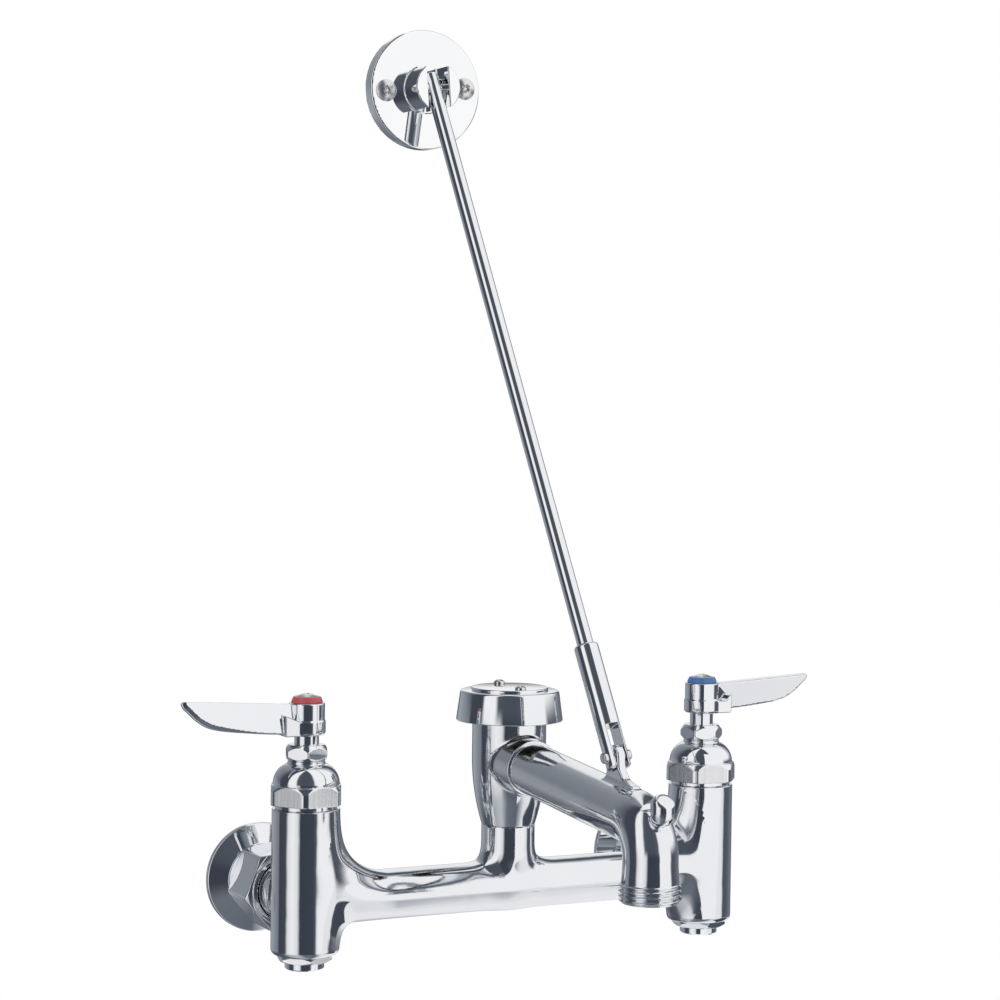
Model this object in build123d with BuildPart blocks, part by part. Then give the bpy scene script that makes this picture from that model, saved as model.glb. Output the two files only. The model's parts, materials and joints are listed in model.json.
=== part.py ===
from build123d import *
from math import asin, atan2, cos, radians, sin, sqrt, tan
import os

# Wall faucet with two lever valves, a vacuum breaker, a hose-thread spout and an upper wall brace.
# Millimetres. X runs along the wall, +Y goes into the wall, +Z is up.
# The origin lies on the wall, midway between the two supply inlets.

# ---------------------------------------------------------------- fits
running_fit = 0.06      # radial, a shaft that turns or slides in its hole
loose_fit = 0.30        # radial, a pin or screw that passes through
seated_fit = 0.05       # radial, a spigot pushed or screwed into its socket

# ---------------------------------------------------------------- wall body casting
inlet_spacing = 203.2
column_reach = 59.3         # wall to column axis
column_radius = 15.2
column_top = 40.7
column_bottom = -24.6
column_foot_round = 2.6
column_rim_chamfer = 0.5
bridge_reach = 57.0         # wall to bridge and riser axis
bridge_height = -1.2
bridge_radius = 11.25
upper_blend = 24.0          # arc where a bridge arm climbs up a column
lower_blend = 8.0           # arc under the arm
arm_depth_at_column = 12.6  # half the arm's width where it meets the column
riser_radius = 12.35
riser_top = 27.3
riser_blend = 6.0
riser_bore_radius = 9.0
riser_bore_floor = 9.0
inlet_boss_radius = 14.0
inlet_boss_end = -29.0      # Y of the boss's sealing face
inlet_shoulder_radius = 15.6
inlet_shoulder_width = 4.0
inlet_bore_radius = 6.5

# ---------------------------------------------------------------- inlets at the wall
flange_radius = 25.4
flange_rim = 2.4            # thickness at the rim
flange_crown = 5.2          # thickness beside the spud
flange_rim_round = 1.0
spud_radius = 15.8
inlet_thread_radius = 9.5
inlet_thread_depth = 16.0
inlet_passage_radius = 7.0
inlet_washer_thickness = 2.0
nut_flats = 35.0
nut_back = -12.5            # Y of the nut's wall-side end
nut_front = -38.0           # Y of the nut's end towards the column
nut_turn = 9.5              # turn of the nut's corners, degrees
nut_chamfer = 1.6

# ---------------------------------------------------------------- valve in each column
chamber_radius = 10.2
chamber_floor = 14.0
seat_radius = 6.4
seat_height = 6.0
seat_depth = 3.0            # how far the seat sinks into the chamber's floor
seat_hole_radius = 4.2
passage_radius = 4.5
washer_radius = 5.8
washer_thickness = 2.5
plunger_radius = 7.0
plunger_head = 4.5
plunger_shank_radius = 3.0
plunger_length = 30.0
seat_chamfer = 0.8

bonnet_hex_flats = 31.0
bonnet_hex_bottom = 42.6
bonnet_hex_top = 51.5
bonnet_hex_chamfer = 1.5
bonnet_hex_turn = {"hot": 23.0, "cold": 38.0}   # where each hex came to rest, degrees
bonnet_neck_radius = 13.9
bonnet_dome_radius = 14.9
bonnet_dome_arc = 9.8
bonnet_spigot_bottom = 27.0
bonnet_collar_radius = 8.4
bonnet_collar_top = 62.0
bonnet_thread_radius = 7.0
bonnet_thread_top = 66.0
bonnet_chamber_radius = 7.6
bonnet_chamber_top = 48.2

packing_nut_flats = 17.8
packing_nut_height = 7.2
packing_nut_chamfer = 2.1
packing_nut_roof = 1.6
packing_nut_turn = {"hot": 12.0, "cold": 41.0}

stem_radius = 5.5
stem_bottom = 40.0
stem_collar_radius = 6.9
stem_collar_height = 2.0
stem_socket_depth = 16.0
stem_square = 6.6           # across the flats of the square that drives the handle

# ---------------------------------------------------------------- lever handle
hub_radius = 8.0
hub_foot_radius = 8.4
hub_seat = {"hot": 73.4, "cold": 74.8}     # height at which each handle sits on its stem
hub_height = 14.3
hub_skirt_height = 6.0
neck_length = 12.6          # from the stem's axis to the end of the neck block
neck_half_width = 6.8
neck_ledge_low = 5.6        # height of the ledge beside the hub
neck_ledge_high = 9.2       # height of the ledge at the end of the neck
neck_ledge_run = 8.6
blade_length = 58.4         # from the stem's axis to the tip
blade_rise = 3.4            # degrees, upward towards the tip
blade_height = 12.9
blade_foot = 0.8            # height of the blade's lower edge above the hub's foot
blade_thickness = 3.4
blade_offset = 1.2          # the blade's middle plane stands off the stem's axis
blade_tilt = 13.0           # degrees out of upright
blade_tip_drop = 3.0        # from the top edge to the end of the lower curve
blade_tip_round = 2.0       # length of the tip's round past the straight top edge
index_radius = 7.0
index_top_radius = 6.1
index_height = 2.7
index_edge = 0.7            # straight part of the ring's rim
handle_screw_radius = 4.7
handle_screw_crown = 1.5
handle_screw_shank = 2.4
handle_screw_length = 14.0
screw_tip_gap = 0.6
crown_flat = 0.4            # radius of the flat left on top of a domed end

# ---------------------------------------------------------------- service stop under each column
stop_socket_radius = 9.0
stop_socket_top = -13.0
stop_chamber_radius = 8.2
stop_seat = 3.0
stop_hex_flats = 22.4
stop_hex_height = 3.0
stop_hex_chamfer = 2.0
stop_hex_turn = 20.0        # degrees
stop_barrel_radius = 8.8
stop_barrel_bottom = -31.0
stop_barrel_chamfer = 0.5
stop_plug_radius = 5.6
stop_plug_top = -1.5
stop_plug_height = 4.5
stop_plug_chamfer = 0.8
stop_shank_radius = 3.0
stop_shank_length = 12.0
stop_spindle_radius = 4.5
stop_spindle_top = -9.0
stop_spindle_bottom = -30.2
stop_spindle_collar = 6.2
stop_spindle_collar_height = 2.0
stop_slot_width = 1.6
stop_slot_depth = 2.0

# ---------------------------------------------------------------- vacuum breaker
breaker_radius = 17.1
breaker_shoulder = 58.5     # where the straight wall starts to curve in
breaker_top = 79.0
breaker_spigot_bottom = 14.0
breaker_inlet_radius = 7.0
breaker_seat = 43.0
breaker_chamber_radius = 11.4
cover_radius = 16.7
cover_thickness = 3.0
cover_spigot = 2.0
cover_vent_radius = 2.2
cover_vent_circle = 7.6
poppet_radius = 9.6
poppet_thickness = 3.5
poppet_seal = 1.6
poppet_stem_radius = 2.6
poppet_stem_top = 81.6
cap_bottom = 75.3
cap_top = 89.3
cap_bottom_radius = 24.7
cap_top_radius = 22.8
cap_wall = 2.0
cap_roof = 3.4
cap_round = 1.0
cap_post_radius = 3.4
cap_plate_radius = 17.8
cap_plate_thickness = 1.4
cap_plate_round = 0.6
cap_screw_circle = 13.8
cap_screw_turn = 84.5       # degrees, where the rear screw came to rest
cap_screw_head = 2.6
cap_screw_edge = 0.8
cap_screw_crown = 1.2
cap_screw_shank = 1.6
cap_screw_length = 17.0

# ---------------------------------------------------------------- spout
spout_root_height = 57.7    # height of the spout's axis where it crosses the breaker's axis
spout_drop = 4.6            # degrees below level
spout_reach = 133.4         # breaker axis to outlet axis
spout_radius = 11.75
spout_bore_radius = 8.8
spout_elbow = 15.5          # bend radius of the spout's centre line
boss_root_radius = 13.9
boss_end_radius = 12.8
boss_length = 24.6          # from the breaker's axis
spout_spigot_radius = 10.4
spout_spigot_length = 7.0
outlet_flare_radius = 12.3
outlet_flare_length = 9.0
flare_inset = 0.05          # the flare starts just inside the tube's wall
outlet_thread_radius = 13.35
outlet_thread_length = 8.6
outlet_bottom = 14.4
outlet_chamfer = 0.7

lug_pin_offset = 102.5      # pin axis in front of the breaker's axis
lug_pin_height = 71.5
lug_thickness = 4.2
lug_radius = 5.2
lug_foot_back = 7.5
lug_foot_front = 13.0
lug_sink = 3.0              # how far the lug's foot reaches into the tube's top
knob_offset = 143.0         # pail knob axis in front of the breaker's axis
knob_radius = 4.9
knob_top = 61.4
knob_foot = 46.6
notch_width = 5.0           # groove behind the knob that keeps the pail's bail
notch_depth = 5.5
notch_clearance = 0.1       # the groove's wall stays this far behind the knob

# ---------------------------------------------------------------- brace
plate_side_shift = -23.4    # the wall plate stands left of the faucet's centre
plate_height = 368.6
plate_radius = 28.0
plate_thickness = 7.0
plate_edge_round = 0.9
stub_radius = 11.2
stub_length = 14.6
stub_slot_width = 10.8
stub_slot_floor = 0.8       # left between the slot and the plate
stub_edge_round = 0.5
stub_pin_offset = 8.6       # pin axis in front of the plate
stub_pin_radius = 2.0
plate_screw_spacing = 40.6
wall_screw_radius = 2.4     # smooth shank inside the plate
wall_thread_radius = 2.2
wall_thread_start = 0.4     # depth in the wall where the thread begins
wall_screw_length = 35.0
wall_screw_point = 6.0
wall_screw_head_radius = 5.4
wall_screw_head_crown = 2.4
rod_radius = 3.6
rod_tip = 6.8               # rod past the upper pin
rod_flat = 6.4              # thickness of the flattened upper end
rod_flat_length = 15.0
rod_start = 24.0            # rod's lower end, along the brace from the lower pin
clevis_radius = 5.35
clevis_length = 51.0
clevis_bore_floor = 17.0
clevis_slot_width = 5.8
clevis_slot_length = 13.6
clevis_toe = 5.6
clevis_edge_chamfer = 0.8
rod_end_chamfer = 0.8
clevis_pin_radius = 2.4
clevis_pin_stand_out = 1.5
clevis_pin_round = 0.9

os.makedirs("parts", exist_ok=True)
sides = {"hot": -1, "cold": 1}


def keep(piece, name):
    """Label a finished piece and write its STEP file."""
    piece.part.label = name
    export_step(piece.part, f"parts/{name}.step")


def upright(x, y):
    """Sketch plane through a vertical axis: sketch x is the radius, sketch y the height."""
    return Plane(origin=(x, y, 0), x_dir=(1, 0, 0), z_dir=(0, -1, 0))


def vertical(x, y):
    return Axis((x, y, 0), (0, 0, 1))


def level(x, y, z):
    return Plane(origin=(x, y, z), x_dir=(1, 0, 0), z_dir=(0, 0, 1))


def crown_radius(radius, height):
    """Radius of the sphere whose cap has this radius and height."""
    return (radius**2 + height**2) / (2 * height)


def facing_room(x, y, z):
    """Sketch plane parallel to the wall; sketches extrude towards the room."""
    return Plane(origin=(x, y, z), x_dir=(1, 0, 0), z_dir=(0, -1, 0))


def hexagon_bar(flats, height, corner_round, turn):
    """Bar with a hexagonal section whose corners are cut back by a cone at both ends."""
    corner = flats / sqrt(3)
    with BuildPart(mode=Mode.PRIVATE) as bar:
        with BuildSketch():
            RegularPolygon(corner, 6, rotation=turn)
        extrude(amount=height)
        slope = corner_round * tan(radians(30))
        with BuildSketch(Plane.XZ):
            with BuildLine():
                Polyline(
                    (0, 0),
                    (corner - corner_round, 0),
                    (corner, slope),
                    (corner, height - slope),
                    (corner - corner_round, height),
                    (0, height),
                    close=True,
                )
            make_face()
        revolve(axis=Axis.Z, mode=Mode.INTERSECT)
    return bar.part


# ================================================================ wall body
arm_top = bridge_height + bridge_radius
arm_bottom = bridge_height - bridge_radius


def arm_section(distance):
    """Top, bottom and half width of a bridge arm at a distance from its column's axis."""
    rise = upper_blend - sqrt(upper_blend**2 - max(column_radius + upper_blend - distance, 0) ** 2)
    fall = lower_blend - sqrt(lower_blend**2 - max(column_radius + lower_blend - distance, 0) ** 2)
    share = rise / upper_blend
    half_width = bridge_radius + (arm_depth_at_column - bridge_radius) * share
    return arm_top + rise, arm_bottom - fall, half_width


with BuildPart() as wall_body:
    with BuildSketch(Plane(origin=(0, -bridge_reach, bridge_height), x_dir=(0, 1, 0), z_dir=(1, 0, 0))):
        Circle(bridge_radius)
    extrude(amount=inlet_spacing / 2, both=True)
    for side in sides.values():
        column_x = side * inlet_spacing / 2
        with BuildPart(mode=Mode.PRIVATE) as arm:
            for angle in (0, 18, 36, 54, 70, 80):
                distance = column_radius + upper_blend * (1 - sin(radians(angle)))
                top, bottom, half_width = arm_section(distance)
                station = column_x - side * distance
                with BuildSketch(Plane(origin=(station, -bridge_reach, 0), x_dir=(0, 1, 0), z_dir=(1, 0, 0))):
                    with Locations((0, (top + bottom) / 2)):
                        Ellipse(half_width, (top - bottom) / 2)
            loft()
        add(arm.part)
        with BuildSketch(level(column_x, -column_reach, column_bottom)):
            Circle(column_radius)
        extrude(amount=column_top - column_bottom)
        with BuildSketch(facing_room(column_x, inlet_boss_end, 0)):
            Circle(inlet_boss_radius)
        extrude(amount=column_reach + inlet_boss_end)
        with BuildSketch(facing_room(column_x, inlet_boss_end, 0)):
            Circle(inlet_shoulder_radius)
        extrude(amount=inlet_shoulder_width)
    with BuildPart(mode=Mode.PRIVATE) as riser:
        for angle in (80, 60, 40, 20, 0):
            flare = riser_radius + riser_blend * (1 - cos(radians(angle)))
            height = arm_top + riser_blend * (1 - sin(radians(angle)))
            with BuildSketch(level(0, -bridge_reach, height)):
                Ellipse(flare, riser_radius)
        with BuildSketch(level(0, -bridge_reach, riser_top)):
            Ellipse(riser_radius, riser_radius)
        loft()
    add(riser.part)
    with BuildSketch(level(0, -bridge_reach, bridge_height)):
        Ellipse(riser_radius + riser_blend, bridge_radius)
    extrude(amount=arm_top + riser_blend * (1 - sin(radians(80))) - bridge_height)
    for side in sides.values():
        column_x = side * inlet_spacing / 2
        with BuildSketch(upright(column_x, -column_reach)):
            with BuildLine():
                Polyline(
                    (0, column_bottom),
                    (stop_socket_radius, column_bottom),
                    (stop_socket_radius, stop_socket_top),
                    (stop_chamber_radius, stop_socket_top),
                    (stop_chamber_radius, stop_seat),
                    (passage_radius, stop_seat),
                    (passage_radius, chamber_floor - seat_depth),
                    (seat_radius + seated_fit, chamber_floor - seat_depth),
                    (seat_radius + seated_fit, chamber_floor),
                    (chamber_radius, chamber_floor),
                    (chamber_radius, column_top),
                    (0, column_top),
                    close=True,
                )
            make_face()
        revolve(axis=vertical(column_x, -column_reach), mode=Mode.SUBTRACT)
        with BuildSketch(facing_room(column_x, inlet_boss_end, 0)):
            Circle(inlet_bore_radius)
        extrude(amount=column_reach + inlet_boss_end, mode=Mode.SUBTRACT)
    with BuildSketch(level(0, -bridge_reach, riser_top)):
        Circle(riser_bore_radius)
    extrude(amount=riser_bore_floor - riser_top, mode=Mode.SUBTRACT)
    round_edges = wall_body.edges().filter_by(GeomType.CIRCLE)
    feet = [e for e in round_edges if abs(e.center().Z - column_bottom) < 0.01 and abs(e.radius - column_radius) < 0.01]
    fillet(feet, column_foot_round)
    round_edges = wall_body.edges().filter_by(GeomType.CIRCLE)
    rims = [e for e in round_edges if abs(e.center().Z - column_top) < 0.01 and abs(e.radius - column_radius) < 0.01]
    chamfer(rims, column_rim_chamfer)
keep(wall_body, "wall_body")


# ================================================================ inlets at the wall
def make_inlet(name, side):
    """Wall flange with its threaded spud, the washer on the spud's end and the coupling nut."""
    x = side * inlet_spacing / 2
    spud_end = inlet_boss_end + inlet_washer_thickness
    along_inlet = Plane(origin=(x, 0, 0), x_dir=(1, 0, 0), z_dir=(0, 0, 1))
    with BuildPart() as wall_flange:
        with BuildSketch(along_inlet):
            with BuildLine():
                Line((0, 0), (flange_radius, 0))
                Line((flange_radius, 0), (flange_radius, -flange_rim + flange_rim_round))
                RadiusArc(
                    (flange_radius, -flange_rim + flange_rim_round),
                    (flange_radius - flange_rim_round, -flange_rim),
                    flange_rim_round,
                )
                Line((flange_radius - flange_rim_round, -flange_rim), (spud_radius, -flange_crown))
                Line((spud_radius, -flange_crown), (spud_radius, spud_end))
                Line((spud_radius, spud_end), (0, spud_end))
                Line((0, spud_end), (0, 0))
            make_face()
        revolve(axis=Axis((x, 0, 0), (0, 1, 0)))
        with BuildSketch(facing_room(x, 0, 0)):
            Circle(inlet_thread_radius)
        extrude(amount=inlet_thread_depth, mode=Mode.SUBTRACT)
        with BuildSketch(facing_room(x, 0, 0)):
            Circle(inlet_passage_radius)
        extrude(amount=-spud_end, mode=Mode.SUBTRACT)
    keep(wall_flange, f"{name}_wall_flange")

    with BuildPart() as inlet_washer:
        with BuildSketch(facing_room(x, spud_end, 0)):
            Circle(spud_radius - inlet_washer_thickness)
            Circle(inlet_passage_radius, mode=Mode.SUBTRACT)
        extrude(amount=inlet_washer_thickness)
    keep(inlet_washer, f"{name}_inlet_washer")

    shoulder_face = inlet_boss_end - inlet_shoulder_width
    with BuildPart() as coupling_nut:
        bar = hexagon_bar(nut_flats, nut_back - nut_front, nut_chamfer, nut_turn)
        add(facing_room(x, nut_back, 0) * bar)
        with BuildSketch(facing_room(x, nut_back, 0)):
            Circle(inlet_boss_radius + loose_fit)
        extrude(amount=nut_back - nut_front, mode=Mode.SUBTRACT)
        with BuildSketch(facing_room(x, nut_back, 0)):
            Circle(spud_radius + seated_fit)
        extrude(amount=nut_back - shoulder_face, mode=Mode.SUBTRACT)
    keep(coupling_nut, f"{name}_coupling_nut")


# ================================================================ valve, handle and service stop
def make_valve(name, side):
    """Seat, sliding plunger with its washer, bonnet, stem, packing and packing nut."""
    x = side * inlet_spacing / 2
    y = -column_reach
    axis = vertical(x, y)
    seat_bottom = chamber_floor - seat_depth
    seat_face = seat_bottom + seat_height
    with BuildPart() as valve_seat:
        with BuildSketch(level(x, y, seat_bottom)):
            Circle(seat_radius)
            Circle(seat_hole_radius, mode=Mode.SUBTRACT)
        extrude(amount=seat_height)
        seat_rim = valve_seat.edges().filter_by(GeomType.CIRCLE).group_by(Axis.Z)[-1].sort_by(SortBy.RADIUS)[-1]
        chamfer(seat_rim, seat_chamfer)
    keep(valve_seat, f"{name}_valve_seat")

    with BuildPart() as seat_washer:
        with BuildSketch(level(x, y, seat_face)):
            Circle(washer_radius)
        extrude(amount=washer_thickness)
    keep(seat_washer, f"{name}_seat_washer")

    head_bottom = seat_face + washer_thickness
    with BuildPart() as plunger:
        with BuildSketch(level(x, y, head_bottom)):
            Circle(plunger_radius)
        extrude(amount=plunger_head)
        with BuildSketch(level(x, y, head_bottom)):
            Circle(plunger_shank_radius)
        extrude(amount=plunger_length)
    keep(plunger, f"{name}_plunger")

    with BuildPart() as bonnet:
        dome_start = bonnet_hex_top
        arc_centre_radius = bonnet_dome_radius - bonnet_dome_arc
        dome_angle = asin((bonnet_collar_radius - arc_centre_radius) / bonnet_dome_arc)
        dome_end = dome_start + bonnet_dome_arc * cos(dome_angle)
        with BuildSketch(upright(x, y)):
            with BuildLine():
                outline = Polyline(
                    (0, bonnet_thread_top),
                    (0, bonnet_spigot_bottom),
                    (chamber_radius - seated_fit, bonnet_spigot_bottom),
                    (chamber_radius - seated_fit, column_top),
                    (bonnet_neck_radius, column_top),
                    (bonnet_neck_radius, bonnet_hex_bottom),
                    (bonnet_dome_radius, bonnet_hex_bottom),
                    (bonnet_dome_radius, dome_start),
                )
                RadiusArc(outline @ 1, (bonnet_collar_radius, dome_end), -bonnet_dome_arc)
                Polyline(
                    (bonnet_collar_radius, dome_end),
                    (bonnet_collar_radius, bonnet_collar_top),
                    (bonnet_thread_radius, bonnet_collar_top),
                    (bonnet_thread_radius, bonnet_thread_top),
                    (0, bonnet_thread_top),
                )
            make_face()
        revolve(axis=axis)
        hex_height = bonnet_hex_top - bonnet_hex_bottom
        bar = hexagon_bar(bonnet_hex_flats, hex_height, bonnet_hex_chamfer, -90 - bonnet_hex_turn[name])
        add(level(x, y, bonnet_hex_bottom) * bar)
        with BuildSketch(level(x, y, bonnet_spigot_bottom)):
            Circle(bonnet_chamber_radius)
        extrude(amount=bonnet_chamber_top - bonnet_spigot_bottom, mode=Mode.SUBTRACT)
        with BuildSketch(level(x, y, bonnet_spigot_bottom)):
            Circle(stem_radius + running_fit)
        extrude(amount=bonnet_thread_top - bonnet_spigot_bottom, mode=Mode.SUBTRACT)
    keep(bonnet, f"{name}_bonnet")

    nut_top = bonnet_collar_top + packing_nut_height
    packing_top = nut_top - packing_nut_roof
    with BuildPart() as packing:
        with BuildSketch(level(x, y, bonnet_thread_top)):
            Circle(bonnet_thread_radius)
            Circle(stem_radius + running_fit, mode=Mode.SUBTRACT)
        extrude(amount=packing_top - bonnet_thread_top)
    keep(packing, f"{name}_packing")

    with BuildPart() as packing_nut:
        bar = hexagon_bar(packing_nut_flats, packing_nut_height, packing_nut_chamfer, packing_nut_turn[name])
        add(level(x, y, bonnet_collar_top) * bar)
        with BuildSketch(level(x, y, bonnet_collar_top)):
            Circle(bonnet_thread_radius + seated_fit)
        extrude(amount=packing_top - bonnet_collar_top, mode=Mode.SUBTRACT)
        with BuildSketch(level(x, y, bonnet_collar_top)):
            Circle(stem_radius + running_fit)
        extrude(amount=packing_nut_height, mode=Mode.SUBTRACT)
    keep(packing_nut, f"{name}_packing_nut")

    stem_collar_bottom = bonnet_chamber_top - stem_collar_height - running_fit
    hub_bottom = hub_seat[name]
    with BuildPart() as stem:
        with BuildSketch(level(x, y, stem_bottom)):
            Circle(stem_radius)
        extrude(amount=hub_bottom - stem_bottom)
        with BuildSketch(level(x, y, stem_collar_bottom)):
            Circle(stem_collar_radius)
        extrude(amount=stem_collar_height)
        with BuildSketch(level(x, y, hub_bottom)):
            Rectangle(stem_square, stem_square)
        extrude(amount=hub_height)
        with BuildSketch(level(x, y, stem_bottom)):
            Circle(plunger_shank_radius + running_fit)
        extrude(amount=stem_socket_depth, mode=Mode.SUBTRACT)
        with BuildSketch(level(x, y, hub_bottom + hub_height)):
            Circle(handle_screw_shank + seated_fit)
        extrude(amount=index_height - handle_screw_length - screw_tip_gap, mode=Mode.SUBTRACT)
    keep(stem, f"{name}_stem")


def make_handle(name, side):
    """Lever handle, index ring and the screw that holds them on the stem."""
    x = side * inlet_spacing / 2
    y = -column_reach
    hub_bottom = hub_seat[name]
    hub_top = hub_bottom + hub_height
    # sketch x runs out along the lever, sketch y is up, the normal points at the lever's plain side
    lever_side = Plane(origin=(x, y, hub_bottom), x_dir=(side, 0, 0), z_dir=(0, -side, 0))
    with BuildPart() as handle:
        # the blade leans across its own middle line and rises towards the tip
        lean = radians(blade_tilt)
        half_lean = blade_height / 2 * sin(lean)
        blade_plane = Plane(
            origin=(x, y + side * (blade_offset + half_lean), hub_bottom + blade_foot),
            x_dir=(side, 0, 0),
            z_dir=(0, -side * cos(lean), -sin(lean)),
        )
        rise = tan(radians(blade_rise))
        with BuildSketch(blade_plane.offset(-blade_thickness / 2)):
            with BuildLine():
                top_length = blade_length - blade_tip_round
                top_edge = Line((0, blade_height), (top_length, blade_height + top_length * rise))
                lower_edge = Spline(
                    (neck_length, 0),
                    (blade_length * 0.58, 1.9),
                    (blade_length * 0.84, 5.6),
                    (blade_length, (top_edge @ 1).Y - blade_tip_drop),
                    tangents=[(1, 0.04), (0.4, 1)],
                )
                TangentArc(lower_edge @ 1, top_edge @ 1, tangent=lower_edge % 1)
                Polyline(lower_edge @ 0, (0, 0), top_edge @ 0)
            make_face()
        extrude(amount=blade_thickness)
        # hub, turned, with a wider skirt
        with BuildSketch(upright(x, y)):
            with BuildLine():
                Polyline(
                    (0, hub_bottom),
                    (hub_foot_radius, hub_bottom),
                    (hub_foot_radius, hub_bottom + hub_skirt_height),
                    (hub_radius, hub_bottom + hub_skirt_height + hub_foot_radius - hub_radius),
                    (hub_radius, hub_top),
                    (0, hub_top),
                    close=True,
                )
            make_face()
        revolve(axis=vertical(x, y))
        # neck block with its sloping ledge
        with BuildSketch(lever_side.offset(-neck_half_width)):
            with BuildLine():
                Polyline(
                    (0, 0),
                    (neck_length, 0),
                    (neck_length, neck_ledge_high),
                    (neck_length - neck_ledge_run, neck_ledge_low),
                    (0, neck_ledge_low),
                    close=True,
                )
            make_face()
        extrude(amount=2 * neck_half_width)
        with BuildSketch(level(x, y, hub_bottom)):
            Rectangle(stem_square + 2 * seated_fit, stem_square + 2 * seated_fit)
        extrude(amount=hub_height, mode=Mode.SUBTRACT)
    keep(handle, f"{name}_handle")

    index_top = hub_top + index_height
    with BuildPart() as index_ring:
        with BuildSketch(upright(x, y)):
            with BuildLine():
                Polyline(
                    (handle_screw_shank + loose_fit, hub_top),
                    (index_radius, hub_top),
                    (index_radius, hub_top + index_edge),
                    (index_top_radius, index_top),
                    (handle_screw_shank + loose_fit, index_top),
                    close=True,
                )
            make_face()
        revolve(axis=vertical(x, y))
    keep(index_ring, f"{name}_index_ring")

    with BuildPart() as handle_screw:
        with BuildSketch(upright(x, y)):
            with BuildLine():
                Polyline(
                    (crown_flat, index_top + handle_screw_crown),
                    (0, index_top + handle_screw_crown),
                    (0, index_top - handle_screw_length),
                    (handle_screw_shank, index_top - handle_screw_length),
                    (handle_screw_shank, index_top),
                    (handle_screw_radius, index_top),
                )
                RadiusArc(
                    (handle_screw_radius, index_top),
                    (crown_flat, index_top + handle_screw_crown),
                    -crown_radius(handle_screw_radius, handle_screw_crown),
                )
            make_face()
        revolve(axis=vertical(x, y))
    keep(handle_screw, f"{name}_handle_screw")


def make_stop(name, side):
    """Screwdriver stop under the column: bonnet, captive spindle and sliding plug."""
    x = side * inlet_spacing / 2
    y = -column_reach
    with BuildPart() as stop_plug:
        with BuildSketch(level(x, y, stop_plug_top)):
            Circle(stop_plug_radius)
        extrude(amount=-stop_plug_height)
        chamfer(stop_plug.edges().group_by(Axis.Z)[-1], stop_plug_chamfer)
        with BuildSketch(level(x, y, stop_plug_top - stop_plug_height)):
            Circle(stop_shank_radius)
        extrude(amount=-stop_shank_length)
    keep(stop_plug, f"{name}_stop_plug")

    with BuildPart() as stop_bonnet:
        bar = hexagon_bar(stop_hex_flats, stop_hex_height, stop_hex_chamfer, stop_hex_turn)
        add(level(x, y, column_bottom - stop_hex_height) * bar)
        with BuildSketch(level(x, y, column_bottom)):
            Circle(stop_socket_radius - seated_fit)
        extrude(amount=stop_socket_top - column_bottom)
        with BuildSketch(level(x, y, column_bottom)):
            Circle(stop_barrel_radius)
        extrude(amount=stop_barrel_bottom - column_bottom)
        chamfer(stop_bonnet.edges().group_by(Axis.Z)[0], stop_barrel_chamfer)
        with BuildSketch(level(x, y, stop_barrel_bottom)):
            Circle(stop_spindle_radius + running_fit)
        extrude(amount=stop_socket_top - stop_barrel_bottom, mode=Mode.SUBTRACT)
    keep(stop_bonnet, f"{name}_stop_bonnet")

    collar_bottom = stop_socket_top + running_fit
    with BuildPart() as stop_spindle:
        with BuildSketch(level(x, y, stop_spindle_bottom)):
            Circle(stop_spindle_radius)
        extrude(amount=stop_spindle_top - stop_spindle_bottom)
        with BuildSketch(level(x, y, collar_bottom)):
            Circle(stop_spindle_collar)
        extrude(amount=stop_spindle_collar_height)
        with BuildSketch(level(x, y, stop_spindle_top)):
            Circle(stop_shank_radius + running_fit)
        extrude(amount=-stop_shank_length, mode=Mode.SUBTRACT)
        with BuildSketch(level(x, y, stop_spindle_bottom)):
            Rectangle(3 * stop_spindle_radius, stop_slot_width)
        extrude(amount=stop_slot_depth, mode=Mode.SUBTRACT)
    keep(stop_spindle, f"{name}_stop_spindle")


for name, side in sides.items():
    make_inlet(name, side)
    make_valve(name, side)
    make_handle(name, side)
    make_stop(name, side)

# ================================================================ vacuum breaker
breaker_y = -bridge_reach
breaker_axis = vertical(0, breaker_y)
spout_direction = Vector(0, -cos(radians(spout_drop)), -sin(radians(spout_drop)))
spout_origin = Vector(0, breaker_y, spout_root_height)
spout_start = Plane(origin=spout_origin, x_dir=(1, 0, 0), z_dir=spout_direction)
cover_top = breaker_top + cover_thickness
screw_seat = cap_top + cap_plate_thickness

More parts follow.
